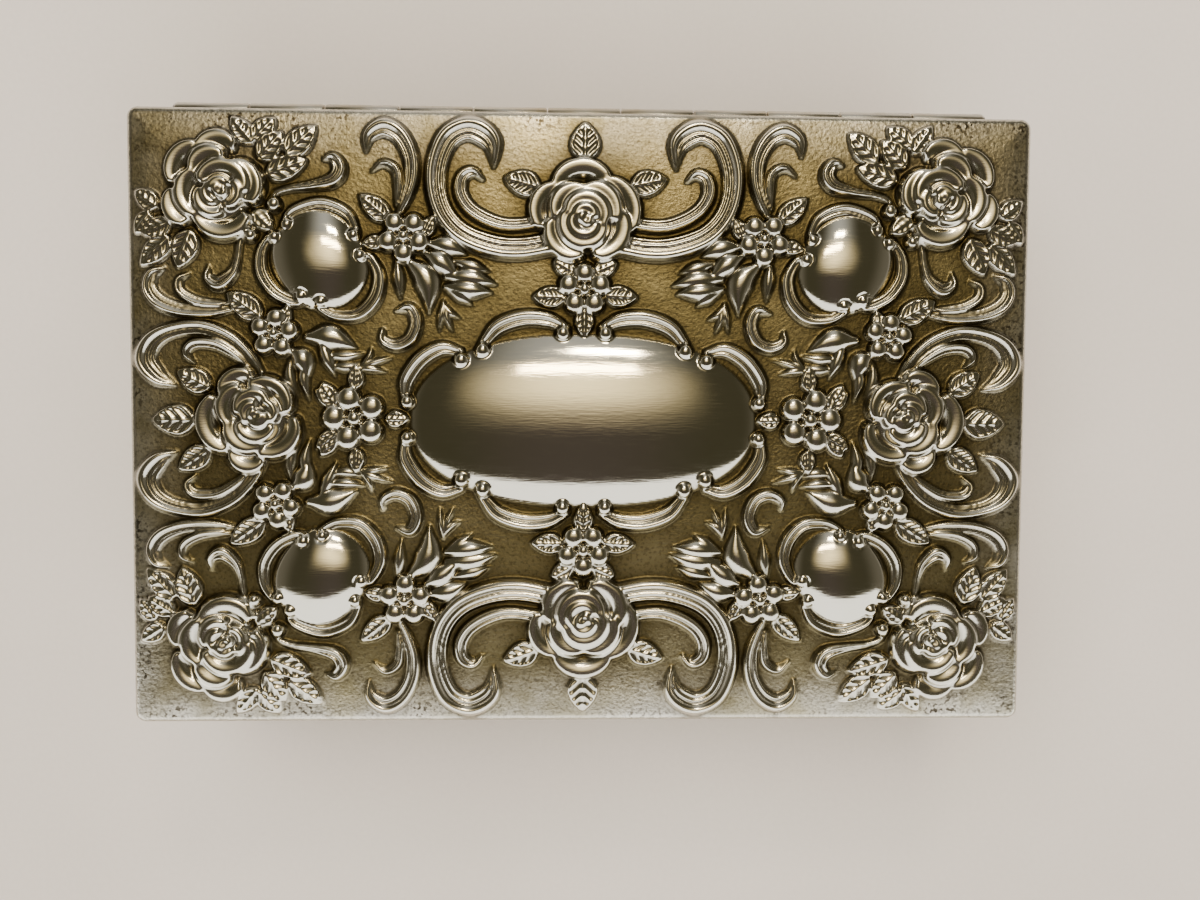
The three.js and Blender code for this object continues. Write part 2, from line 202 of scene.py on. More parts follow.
def leaf(x, y, length, width, degrees, top=1.7):
    where, dx, dy = patch(x, y, length * 0.62)
    a = math.radians(degrees)
    u = (dx * math.cos(a) + dy * math.sin(a)) / (length / 2)
    v = np.abs(-dx * math.sin(a) + dy * math.cos(a))
    outline = width / 2 * np.clip(1 - u**2, 0, 1) ** 0.72 * (1.12 - 0.3 * u)
    inside = outline - v
    rim = np.exp(-(((inside - 0.36) / 0.28) ** 2))
    rib = np.exp(-((v / 0.3) ** 2)) * ease(0.96 - u, 0, 0.3)
    phase = (u * length / 2 - 0.95 * v) / (length / VEINS)
    veins = (0.5 + 0.5 * np.cos(2 * math.pi * phase)) ** 1.2 * ease(0.9 - u, 0, 0.3)
    bow = 1 - 0.18 * u**2
    rise = top * bow * (0.55 + 0.45 * np.maximum(np.maximum(rim, rib), 0.7 * veins))
    lay_over(where, rise, ease(inside, -0.06, 0.22))


print(f"a leaf of 8 mm has a vein every {8 / VEINS:.1f} mm")

# %% [markdown]
# ## Roses
# A rose is a set of petals drawn from the outside in. Each petal has a thick rolled lip on its outer side
# and dips towards the heart, where the next petal lies over it. A lip is a crescent: widest in its middle,
# and curling inwards at both ends.

# %% Stamp a petal, and a rose of petals
PETAL_REACH = 4.0


def petal(x, y, aim, spread, radius, lip, top, dip=1.35):
    where, dx, dy = patch(x, y, radius + lip + 0.6)
    r = np.hypot(dx, dy)
    aside = np.degrees(np.arctan2(dy, dx)) - aim
    aside = (aside + 180) % 360 - 180
    delta = np.clip(aside / spread, -1.2, 1.2)
    bend = radius * (1 - 0.13 * delta**2)
    thick = lip * np.clip(1 - np.abs(delta) ** 2.4, 0.02, 1) ** 0.8
    outer = 1 - np.sqrt(np.clip(1 - ((r - bend) / thick) ** 2, 0, 1))
    inner = 1 - np.sqrt(np.clip(1 - ((bend - r) / (2.2 * lip)) ** 2, 0, 1))
    rise = top - dip * np.where(r > bend, outer, inner)
    within_angle = ease((1 - np.abs(delta)) * np.radians(spread) * r, -0.05, 0.3)
    within_ring = ease(bend + thick - r, -0.05, 0.25) * ease(r - bend + PETAL_REACH, 0, 1.2)
    lay_over(where, rise, within_angle * within_ring)


CORNER_ROSE = [
    # aim and half spread in degrees, radius, thickness of the lip, height
    (137, 30, 13.2, 1.15, 2.5), (93, 25, 12.7, 1.2, 2.3), (194, 24, 12.6, 1.2, 2.4),
    (265, 52, 9.3, 1.3, 2.8), (21, 50, 8.4, 1.25, 3.0), (111, 33, 9.7, 1.15, 3.1),
    (178, 42, 9.4, 1.15, 3.2), (74, 82, 6.4, 1.1, 3.7), (217, 55, 5.7, 0.9, 3.7),
    (-20, 62, 4.3, 0.8, 3.9), (190, 62, 3.6, 0.7, 4.1), (100, 75, 2.7, 0.85, 4.4),
]
SIDE_ROSE = [
    (122, 30, 10.7, 1.15, 2.4), (252, 24, 12.3, 1.2, 2.3), (190, 38, 12.7, 1.3, 2.5),
    (52, 54, 8.3, 1.15, 2.8), (-50, 46, 9.9, 1.25, 2.7), (155, 42, 8.5, 1.1, 3.1),
    (233, 44, 8.3, 1.2, 3.1), (112, 66, 5.4, 0.95, 3.7), (262, 66, 5.5, 1.0, 3.6),
    (15, 48, 4.4, 0.75, 3.8), (150, 72, 3.2, 0.75, 4.1), (-60, 82, 2.7, 0.65, 4.2),
]
MIDDLE_ROSE = [
    (93, 38, 12.6, 1.25, 2.4), (22, 42, 12.0, 1.15, 2.3), (158, 32, 12.0, 1.15, 2.4),
    (222, 46, 9.3, 1.2, 2.6), (-32, 49, 9.6, 1.35, 2.7), (130, 48, 8.2, 1.2, 3.0),
    (46, 50, 8.4, 1.2, 3.1), (252, 100, 5.8, 1.15, 3.5), (70, 92, 5.5, 1.1, 3.7),
    (250, 96, 3.6, 0.85, 4.0), (80, 84, 3.0, 0.75, 4.2),
]


HEART_R, HEART_TOP = 6.5, 2.4


def rose(x, y, petals, spin=0):
    where, dx, dy = patch(x, y, HEART_R + 0.5)
    raise_to(where, HEART_TOP * np.sqrt(np.clip(1 - (dx**2 + dy**2) / HEART_R**2, 0, 1)))
    for aim, spread, radius, lip, top in petals:
        petal(x, y, aim + spin, spread, radius, lip, top)
    bead(x, y, 1.5, 4.4)
    petal(x, y, spin - 35, 80, 1.5, 0.5, 4.5, dip=1.0)
    petal(x, y, spin + 150, 80, 1.3, 0.45, 4.6, dip=1.0)


print(f"petals: {len(CORNER_ROSE)} at a corner, {len(SIDE_ROSE)} at a side, {len(MIDDLE_ROSE)} in the middle")

# %% [markdown]
# ## Beads, berries and domes
# Scroll ends carry round beads, and the small flowers are five berries around a bead. The five smooth domes
# are mirrors in the finished lid, so their shape matters more than any pattern: a full oval that leaves
# the ground quickly and flattens towards its top.

# %% Stamp beads, flowers and domes
BERRIES = 5


def bead(x, y, radius, top):
    where, dx, dy = patch(x, y, radius + 0.5)
    r = np.hypot(dx, dy) / radius
    ball = top - radius * 0.95 + radius * 0.95 * np.sqrt(np.clip(1 - r**2, 0, 1))
    lay_over(where, ball, ease(1 - r, 0, 0.1))


def flower(x, y, spread, berry, aim, top=2.8, dimple=0.1):
    for i in range(BERRIES):
        a = math.radians(aim + 360 / BERRIES * i)
        bx, by = x + spread * math.cos(a), y + spread * math.sin(a)
        where, dx, dy = patch(bx, by, berry + 0.5)
        r = np.hypot(dx, dy) / berry
        fall = 0.85 * berry * (1 - np.sqrt(np.clip(1 - r**2, 0, 1)))
        lay_over(where, top - fall - dimple * np.exp(-((r / 0.3) ** 2)), ease(1 - r, 0, 0.12))
    bead(x, y, berry * 0.6, top + 0.1)


def dome(x, y, half_x, half_y, top, fullness=2.0, lean=0.0):
    where, dx, dy = patch(x, y, max(half_x, half_y) + 1)
    a = math.radians(lean)
    u = np.abs(dx * math.cos(a) + dy * math.sin(a)) / half_x
    v = np.abs(-dx * math.sin(a) + dy * math.cos(a)) / half_y
    inside = np.clip(1 - u**fullness - v**fullness, 0, 1)
    raise_to(where, top * inside**0.72)
    dome_share[where] = np.maximum(dome_share[where], ease(inside, 0.0, 0.06))


print(f"a flower has {BERRIES} berries, {360 / BERRIES:.0f} degrees apart")

# %% [markdown]
# ## The pattern of one quarter
# All places are in millimetres from the middle of the lid, and each scroll is a list of points with half
# its width there. The side of a scroll says on which hand its thick outer roll lies. The lists follow the
# order in which a die cutter would work: frames first, then the long scrolls, leaves, buds and flowers.

# %% Frames of the domes, with their beads
FRAME_SCROLLS = [
    ([(-4.0, 20.6, 1.1), (-8, 22.4, 1.8), (-13.5, 22.7, 2.0), (-19, 20.8, 1.9), (-22.4, 17, 1.2)], 1, 2.2),
    ([(-27.4, 15.2, 1.1), (-31.5, 15.9, 1.7), (-36, 13.4, 1.9), (-39.2, 8.9, 1.8), (-39.6, 5.2, 1.1)],
     1, 2.2),
    ([(-65.6, 42.8, 0.9), (-63.5, 45.5, 1.3), (-57.6, 47.2, 1.5), (-52.2, 45.2, 1.4), (-49.9, 41.2, 0.9)],
     -1, 2.0),
    ([(-68.6, 40.2, 0.9), (-70.6, 36.5, 1.3), (-70.6, 32, 1.5), (-68, 28, 1.5), (-64, 25.8, 1.3),
      (-61.3, 25.9, 0.9)], 1, 2.0),
    ([(-58.3, 24.7, 0.9), (-54.5, 22.9, 1.3), (-49.5, 23.2, 1.6), (-46, 26.8, 1.7), (-45.1, 31.5, 1.5),
      (-46.8, 35.2, 1.2), (-48.6, 36.4, 0.9)], 1, 2.0),
]
FRAME_BEADS = [
    (-4.7, 19.3, 1.7), (-22.4, 15.4, 1.8), (-27.1, 13.2, 1.8), (-39, 4.0, 1.6), (-64.9, 42.4, 1.5),
    (-50.6, 40.3, 1.4), (-67.6, 39.7, 1.4), (-61.9, 27.0, 1.5), (-57.7, 25.8, 1.4), (-49.2, 35.9, 1.5),
    (-67.7, 46.8, 1.7), (-72.8, 40.1, 1.5),
]
print(f"frames of a quarter: {len(FRAME_SCROLLS)} scrolls and {len(FRAME_BEADS)} beads")

# %% The long scrolls
LONG_SCROLLS = [
    # beside the middle rose
    ([(-20.0, 55.4, 0.3), (-20.3, 60.6, 2.3), (-22.8, 63.2, 2.8), (-26.3, 63.9, 2.7), (-30.2, 61.6, 2.7),
      (-32.5, 56, 2.5), (-32.6, 50, 2.4), (-30.6, 44.6, 2.4), (-26.5, 40.6, 2.5), (-20, 38.2, 2.6),
      (-14, 37.8, 2.6), (-7, 39, 2.5)], 1, TRIPLE, 2.6),
    ([(-22.4, 52.8, 0.4), (-24.6, 54.5, 1.2), (-26.9, 53.3, 1.5), (-27.3, 50, 1.6), (-25.3, 46.6, 1.6),
      (-21, 44, 1.6), (-16, 43, 1.5), (-8, 44, 1.4)], 1, DOUBLE, 2.3),
    ([(-47.8, 58.4, 0.3), (-47.2, 62, 1.6), (-44, 63.9, 2.2), (-40.5, 62.2, 2.1), (-38.2, 58, 1.9),
      (-37.9, 53, 1.7), (-39.2, 48.5, 1.3), (-41, 44.6, 0.6)], -1, DOUBLE, 2.4),
    ([(-46.5, 54.4, 0.3), (-44, 56.1, 0.9), (-41.4, 54.6, 1.1), (-40.9, 51, 1.0), (-41.3, 47.3, 0.5)],
     -1, DOUBLE, 1.8),
    # beside the rose of the short side
    ([(-89.6, 7.4, 0.4), (-93.4, 9.2, 2.1), (-96, 12.8, 2.6), (-94.6, 16.8, 2.3), (-90.4, 19.3, 1.8),
      (-84, 20.1, 1.7), (-78, 18, 1.7), (-73.6, 14.2, 1.4), (-70.6, 9.8, 0.7)], -1, TRIPLE, 2.4),
    ([(-85.4, 12.4, 0.3), (-87.1, 14.5, 1.0), (-85.4, 16.5, 1.2), (-81, 16.4, 1.2), (-77, 14.3, 1.0),
      (-73.6, 11.4, 0.5)], -1, DOUBLE, 1.9),
    ([(-91.6, 32.8, 0.3), (-94.2, 31.5, 1.4), (-95, 28.6, 1.7), (-93, 25.7, 1.8), (-88.5, 23.9, 1.6),
      (-82, 23.5, 1.3), (-76.4, 24.2, 0.5)], 1, TRIPLE, 2.0),
    ([(-86.2, 31.7, 0.3), (-88.4, 30.3, 0.9), (-88.1, 27.8, 1.1), (-85, 25.9, 1.1), (-81, 25.3, 0.9),
      (-77.2, 25.5, 0.4)], 1, DOUBLE, 1.7),
    # from the round dome to the corner rose
    ([(-57, 56.9, 0.4), (-54.9, 57, 1.4), (-53.5, 54.8, 1.8), (-55, 52.3, 1.7), (-59.5, 51.1, 1.1),
      (-64.5, 50.4, 0.8), (-67.5, 49.2, 0.7), (-68.9, 47, 0.5)], -1, DOUBLE, 2.5),
    ([(-71.3, 40.2, 0.4), (-72.2, 41.6, 0.55), (-74.3, 41.1, 0.65), (-75.3, 38.5, 0.75), (-75.8, 35, 0.85),
      (-77, 31.8, 1.3), (-79.8, 29.6, 1.8), (-82.1, 30.8, 1.2), (-82.1, 33.3, 0.3)], -1, DOUBLE, 2.2),
    # small curls near the middle
    ([(-41.4, 24.0, 0.4), (-38.4, 24.6, 1.3), (-37.0, 21.5, 1.5), (-38.4, 17.8, 1.5), (-41.5, 16.4, 1.4),
      (-44.2, 17.6, 1.1), (-44.4, 19.8, 0.5)], -1, DOUBLE, 2.0),
]
print(f"long scrolls in a quarter: {len(LONG_SCROLLS)}")

# %% Leaves, blades of the buds, sprigs and flowers
LEAVES = [
    # x, y, length, width, direction of the tip
    (-74.6, 62.6, 7.6, 4.0, 128), (-69.7, 63.1, 7.0, 4.4, 42), (-61.7, 60.6, 9.2, 5.0, 40),
    (-68.4, 59.6, 8.2, 4.8, 50), (-64.9, 54.9, 9.8, 4.8, 20), (-95.3, 47.5, 6.4, 4.0, 142),
    (-96.1, 42.3, 6.0, 3.6, 235), (-93.0, 41.4, 7.0, 4.2, 208), (-93.3, 36.5, 9.2, 4.6, 224),
    (-87.3, 37.0, 9.0, 5.2, 250), (-70.2, 43.5, 6.2, 3.8, -38), (-74.3, 24.9, 9.4, 4.8, 148),
    (-46.0, 46.7, 8.6, 4.2, 138), (-34.2, 42.6, 5.2, 3.0, 60), (-46.4, 38.7, 5.2, 3.0, 185),
    (-13.9, 52.4, 8.4, 5.0, 165), (-4.6, 33.9, 5.6, 3.6, 152), (-7.9, 27.5, 7.4, 4.2, 180),
    (-85.4, 8.8, 8.4, 4.8, 150), (-56.8, 4.8, 5.8, 3.4, 145), (-56.6, -5.9, 5.4, 3.4, 236),
    (-65.6, 22.6, 5.2, 3.2, 70),
]
BLADES = [
    # polished petals of the lily buds: base, a point between, tip, each with half its width
    ([(-34.4, 38.8, 0.5), (-30, 38.3, 1.7), (-25.8, 36.3, 0.15)], 2.0),
    ([(-34.8, 36.6, 0.6), (-31.4, 34.6, 1.8), (-27.2, 31.0, 0.15)], 2.2),
    ([(-28.4, 34.9, 0.5), (-24.6, 33.8, 1.2), (-20.9, 32.8, 0.12)], 1.6),
    ([(-30.4, 31.6, 0.6), (-25, 31.4, 1.6), (-19.2, 30.0, 0.12)], 2.0),
    ([(-30.6, 29.4, 0.5), (-25.4, 28.8, 1.6), (-20.2, 28.2, 0.12)], 2.2),
    ([(-30, 28.6, 0.4), (-27.2, 27.4, 1.1), (-24.8, 25.4, 0.12)], 1.5),
    ([(-38.6, 34.8, 0.7), (-34.6, 30.6, 2.1), (-34.2, 23.4, 0.15)], 2.2),
    ([(-41.2, 35, 0.4), (-40.8, 31, 1.0), (-40.4, 26.6, 0.12)], 1.4),
    ([(-60.6, 18.2, 0.8), (-55.6, 18.1, 2.1), (-49.8, 15.6, 0.15)], 2.3),
    ([(-58, 17.6, 0.5), (-56.4, 13.4, 1.1), (-54.6, 9.4, 0.12)], 1.7),
    ([(-56.6, 14.2, 0.4), (-52.6, 14.0, 0.9), (-48.4, 14.6, 0.12)], 1.5),
    ([(-55.4, 11.9, 0.4), (-52.2, 11.6, 0.9), (-48.8, 12.6, 0.12)], 1.3),
    ([(-64.2, 15.2, 0.6), (-61.8, 13.0, 1.9), (-60.6, 8.6, 0.15)], 2.1),
    ([(-61.2, 12.4, 0.4), (-61.6, 8.8, 1.0), (-60.4, 4.4, 0.12)], 1.5),
    ([(-64.6, 13.4, 0.3), (-64.6, 9, 1.0), (-62.6, 5.2, 0.12)], 1.3),
]
SPRIGS = [
    ([(-31.1, 26.2, 0.25), (-31.6, 23, 0.5), (-32.0, 19.6, 0.1)], 1.1),
    ([(-30.9, 25.4, 0.25), (-30.2, 22.4, 0.5), (-29.0, 19.6, 0.1)], 1.1),
    ([(-30.9, 25.6, 0.25), (-29.4, 23.6, 0.5), (-27.4, 22.6, 0.1)], 1.1),
    ([(-49.6, 11.4, 0.25), (-46.4, 12.6, 0.55), (-42.2, 13.8, 0.1)], 1.1),
    ([(-49.6, 11.2, 0.25), (-46.6, 11.2, 0.55), (-43.6, 10.6, 0.1)], 1.1),
    ([(-49.4, 11.6, 0.25), (-47.4, 13.8, 0.5), (-46.8, 16, 0.1)], 1.0),
]
FLOWERS = [(-39.7, 40.2, 3.6, 2.4, -90), (-67.9, 18.8, 3.4, 2.25, 90)]
print(f"{len(LEAVES)} leaves, {len(BLADES)} blades, {len(SPRIGS)} sprigs and {len(FLOWERS)} flowers")

# %% [markdown]
# ## Stamping the lid
# The ground isn't perfectly flat: pressing the sheet leaves shallow waves, which break up the reflections.
# Then each quarter is stamped through its mirror. A real die is cut by hand, so leaves and roses turn a
# little differently in every quarter.

# %% Blur helper and the uneven ground
def soften(field, size):
    ky = np.fft.fftfreq(field.shape[0], d=STEP)[:, None]
    kx = np.fft.rfftfreq(field.shape[1], d=STEP)[None, :]
    keep = np.exp(-2 * (math.pi * size) ** 2 * (kx**2 + ky**2))
    return np.fft.irfft2(np.fft.rfft2(field) * keep, s=field.shape)


def waves(size, tall):
    field = soften(rng.standard_normal(height.shape), size)
    return field * tall / field.std()


print(f"the blur works on {height.size / 1e6:.2f} million places at once")

# %% Stamp frames, scrolls, leaves, buds and flowers in every quarter
BLADE_FULL, SPRIG_FULL, SPRIG_TALL = 1.5, 1.6, 1.2
BEAD_STANDS = 1.15


def stamp_quarter():
    def a_little(amount):
        return rng.uniform(-amount, amount)

    for points, side, top in FRAME_SCROLLS:
        sweep(points, DOUBLE, top, side)
    for points, side, ribs, top in LONG_SCROLLS:
        sweep(points, ribs, top, side)
    for x, y, length, width, aim in LEAVES:
        leaf(x + a_little(0.2), y + a_little(0.2), length, width, aim + a_little(5))
    for points, top in BLADES:
        sweep([(x, y, BLADE_FULL * half) for x, y, half in points], ROLL, top)
    for points, top in SPRIGS:
        sweep([(x, y, SPRIG_FULL * half) for x, y, half in points], ROLL, SPRIG_TALL * top)
    for x, y, spread, berry, aim in FLOWERS:
        flower(x, y, spread, berry, aim + a_little(8))
    for x, y, radius in FRAME_BEADS:
        bead(x, y, radius, radius + BEAD_STANDS)
    rose(-78.8, 49.3, CORNER_ROSE, spin=a_little(5))


dome(0, 0, 38.6, 19.2, 5.2, fullness=2.25)
for quarter in QUARTERS:
    look_through(quarter)
    dome(-58.2, 35, 10.1, 11.2, 4.0, fullness=2.2, lean=35)
for quarter in QUARTERS:
    look_through(quarter)
    stamp_quarter()
for quarter in [(1, 1), (1, -1)]:
    look_through(quarter)
    leaf(0, 61.4, 8.4, 6.0, 90)
    leaf(0, 21.6, 6.4, 3.8, -90)
    flower(0, 29, 3.7, 2.45, 90)
    rose(0, 44.2, MIDDLE_ROSE, spin=2 * mirror[1])
for quarter in [(1, 1), (-1, 1)]:
    look_through(quarter)
    leaf(-89.9, -0.2, 9.6, 6.0, 180)
    leaf(-41.2, 0.2, 5.4, 3.4, 0)
    leaf(-50.2, 9.4, 5.4, 3.2, 88)
    leaf(-50.2, -9.0, 5.4, 3.2, 268)
    flower(-50.6, 0.3, 4.5, 2.95, 178)
    rose(-71.6, 1.0, SIDE_ROSE, spin=3 * mirror[0])
height = soften(height, 0.18)
ROSE_PLACES = [(78.8, 49.3, 12.5), (71.6, 1.0, 12), (0, 44.2, 12)]
petals_here = np.zeros_like(height)
for x, y, reach in ROSE_PLACES:
    away = np.hypot(np.abs(GX)[None, :] - x, np.abs(GY)[:, None] - y)
    petals_here = np.maximum(petals_here, 1 - ease(away, reach - 3, reach))
height += (soften(height, 0.3) - height) * petals_here
drawn = height.max()
height *= (LID_TOP - GROUND) / drawn
print(f"relief drawn {drawn:.1f} mm tall, and pressed to the {height.max():.1f} mm of the CAD lid")

# %% [markdown]
# ## From heights to a sheet
# The board becomes the top of the lid: its corners are rounded, its rim turns down over 1.5 mm, and the
# ground falls away slightly over the last centimetre. The outline then runs down the skirt, round its
# lower edge and up inside, so that the lid is a real sheet with a thickness.

# %% Shape the rim
def rounded_corner(x, y):
    inner_x, inner_y = HALF_X - CORNER, HALF_Y - CORNER
    a, b = np.maximum(np.abs(x) - inner_x, 0), np.maximum(np.abs(y) - inner_y, 0)
    far, long = np.maximum(a, b), np.hypot(a, b)
    pull = np.where((a > 0) & (b > 0), far / np.maximum(long, 1e-9), 1)
    new_x = np.sign(x) * np.where(a > 0, inner_x + a * pull, np.abs(x))
    new_y = np.sign(y) * np.where(b > 0, inner_y + b * pull, np.abs(y))
    return new_x, new_y


flat_x, flat_y = np.meshgrid(GX, GY)
from_edge = np.minimum(HALF_X - np.abs(flat_x), HALF_Y - np.abs(flat_y))
top_x, top_y = rounded_corner(flat_x, flat_y)
turned = np.clip(EDGE_ROUND - from_edge, 0, EDGE_ROUND)
drop = EDGE_ROUND - np.sqrt(np.clip(EDGE_ROUND**2 - turned**2, 0, None))
fall = 0.55 * np.clip(1 - from_edge / 10, 0, 1) ** 2
ground = (waves(3.2, 0.02) + waves(9, 0.05)) * ease(from_edge, 1.5, 5) * (1 - 0.9 * dome_share)
top_z = GROUND + height + ground - drop - fall
print(f"the top falls by {fall.max():.2f} mm, and {drop.max():.1f} mm more round the edge")

# %% Outline of the lid and its normal
rows, columns = height.shape
index = np.arange(rows * columns).reshape(rows, columns)
loop = np.concatenate([index[0, :-1], index[:-1, -1], index[-1, :0:-1], index[:0:-1, 0]])
loop_x, loop_y = top_x.ravel()[loop], top_y.ravel()[loop]
out_x = np.sign(loop_x) * np.maximum(np.abs(loop_x) - (HALF_X - CORNER), 0)
out_y = np.sign(loop_y) * np.maximum(np.abs(loop_y) - (HALF_Y - CORNER), 0)
reach = np.hypot(out_x, out_y)
out_x, out_y = out_x / reach, out_y / reach


def skirt_profile():
    top = GROUND - EDGE_ROUND - 0.55
    down = [(0, z) for z in np.linspace(top, LID_FOOT + 0.5, 7)[1:]]
    hem = [(0.15, LID_FOOT + 0.12), (0.4, LID_FOOT), (SHEET - 0.4, LID_FOOT), (SHEET, LID_FOOT + 0.3)]
    return down + hem + [(SHEET, GROUND - SHEET)]


def make_mesh(name, vertices, faces):
    mesh = bpy.data.meshes.new(name)
    mesh.from_pydata([tuple(v) for v in vertices], [], faces)
    mesh.polygons.foreach_set("use_smooth", [True] * len(mesh.polygons))
    mesh.update()
    piece = bpy.data.objects.new(name, mesh)
    bpy.context.scene.collection.objects.link(piece)
    return piece


def lid_sheet():
    points = [np.stack([top_x.ravel(), top_y.ravel(), top_z.ravel()], 1)]
    quads = np.stack([index[:-1, :-1], index[:-1, 1:], index[1:, 1:], index[1:, :-1]], -1).reshape(-1, 4)
    faces = quads.tolist()
    ring, total, count = loop, rows * columns, len(loop)
    for inset, z in skirt_profile():
        points.append(np.stack([loop_x - inset * out_x, loop_y - inset * out_y, np.full(count, z)], 1))
        below = total + np.arange(count)
        faces += np.stack([ring, below, np.roll(below, -1), np.roll(ring, -1)], 1).tolist()
        ring, total = below, total + count
    faces.append(ring[::-1].tolist())
    return make_mesh("stamped_lid", np.vstack(points) * MM, faces)


stamped_lid = lid_sheet()
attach(stamped_lid, "lid")
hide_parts("lid_shell")
print(f"lid sheet: {len(stamped_lid.data.polygons)} faces")

# %% [markdown]
# ## Where the dark finish and the painted shade stay
# The dark patina sits in every groove. Around the foot of every ornament the darkening is partly patina and
# partly painted shade, and a broader painted shade darkens the ground near the relief. All of it is rubbed
# away from whatever stands proud. Comparing the height of a place with the average height around it says
# which is which. The results are stored on the sheet's points, and the material reads them.

# %% Store the finish on the sheet
def store(piece, name, values, skirt=0.0):
    field = piece.data.attributes.new(name, "FLOAT", "POINT")
    everywhere = np.full(len(piece.data.vertices), skirt, np.float32)
    everywhere[: values.size] = values.ravel()
    field.data.foreach_set("value", everywhere)


hollow = np.clip((soften(height, 0.6) - height) / 0.45, 0, 1)
# partly patina, partly painted shade: the low ground at the foot of each ornament is darker than the ground
# around it
foot_patina_and_shade = np.clip((soften(height, 2.0) - height) / 1.0, 0, 1) * (1 - ease(height, 0.1, 0.7))
store(stamped_lid, "recess", np.clip(0.4 * hollow + 0.1 * foot_patina_and_shade, 0, 0.7) * (1 - ease(dome_share, 0.2, 0.9)))
store(stamped_lid, "raised", np.maximum(ease(height, 0.35, 1.1), 0.7 * (turned > 0.4)), skirt=0.7)
store(stamped_lid, "dome", ease(dome_share, 0.3, 1.0) * (1 - ease(hollow, 0.1, 0.5)))
store(stamped_lid, "inland", np.clip(from_edge / 14, 0, 1), skirt=0.9)
# painted shade: a broad darkening of the ground within about 3 mm of the relief, fading out towards the rim
painted_relief_shade = soften(ease(height, 0.3, 1.0), 3.0) * ease(from_edge, 2, 12)
store(stamped_lid, "painted_relief_shade", np.clip(1.5 * painted_relief_shade, 0, 1))
store(stamped_lid, "plain", (1 - ease(height, 0.25, 0.8)) * (1 - ease(dome_share, 0, 0.5)))
print(f"grooves cover {(hollow > 0.5).mean():.0%} of the lid, and domes {(dome_share > 0.5).mean():.0%}")

# %% [markdown]
# ## Mixing a finish
# Every finish here is a Principled shader fed by a few noises and by the shares stored on the sheet. A noise
# is placed in metres on the piece, so its grain keeps its real size: a scale of 2500 gives grains of 0.4 mm.

# %% Node helpers
def put(tree, kind, inputs=None, **settings):
    made = tree.nodes.new("ShaderNode" + kind)
    for name, value in settings.items():
        setattr(made, name, value)
    for socket, value in (inputs or {}).items():
        if isinstance(value, bpy.types.NodeSocket):
            tree.links.new(value, made.inputs[socket])
        else:
            made.inputs[socket].default_value = value
    return made


def start_finish(name, **constants):
    material = bpy.data.materials.new(name)
    material.use_nodes = True
    tree = material.node_tree
    shader = tree.nodes["Principled BSDF"]
    for socket, value in constants.items():
        shader.inputs[socket.replace("_", " ")].default_value = value
    return material, tree, shader


def colour(tree, share, a, b):
    return put(tree, "Mix", {0: share, 6: a, 7: b}, data_type="RGBA").outputs[2]


def number(tree, share, a, b):
    return put(tree, "Mix", {0: share, 2: a, 3: b}, data_type="FLOAT").outputs[0]


def times(tree, a, b):
    return put(tree, "Math", {0: a, 1: b}, operation="MULTIPLY").outputs[0]


def grain(tree, scale, low, high, stretch=(1, 1, 1), detail=3):
    place = put(tree, "TexCoord").outputs["Object"]
    spread = put(tree, "Mapping", {"Vector": place, "Scale": stretch}).outputs[0]
    noise = put(tree, "TexNoise", {"Vector": spread, "Scale": scale, "Detail": detail}).outputs["Fac"]
    return put(tree, "MapRange", {"Value": noise, "From Min": low, "From Max": high}).outputs[0]


def stored(tree, name):
    return put(tree, "Attribute", attribute_name=name).outputs["Fac"]


def bumps(tree, shader, fields, depth):
    normal = None
    for field, strength in fields:
        step = put(tree, "Bump", {"Height": field, "Strength": strength, "Distance": depth})
        if normal:
            tree.links.new(normal, step.inputs["Normal"])
        normal = step.outputs[0]
    tree.links.new(normal, shader.inputs["Normal"])


def feed(tree, shader, **links):
    for socket, source in links.items():
        tree.links.new(source, shader.inputs[socket.replace("_", " ")])


print("a finish is mixed with", ", ".join(tool.__name__ for tool in (put, colour, number, grain, bumps)))

# %% [markdown]
# ## Antique silver
# The lid was plated, darkened all over, and then polished by hand. Its raised work is bright silver, its
# ground keeps a brown and gold tarnish in soft patches, and the grooves stay nearly black. Along the edge
# years of handling have worn the tarnish to a dull grey full of small dark pits.

# %% Finish of the lid
SILVER = (0.70, 0.68, 0.61, 1)
TARNISH = (0.33, 0.298, 0.19, 1)
GOLDEN = (0.55, 0.505, 0.365, 1)
# umber of the painted shade near the relief
PAINTED_SHADE_UMBER = (0.21, 0.18, 0.105, 1)
WORN = (0.68, 0.66, 0.61, 1)
PITCH = (0.06, 0.045, 0.027, 1)


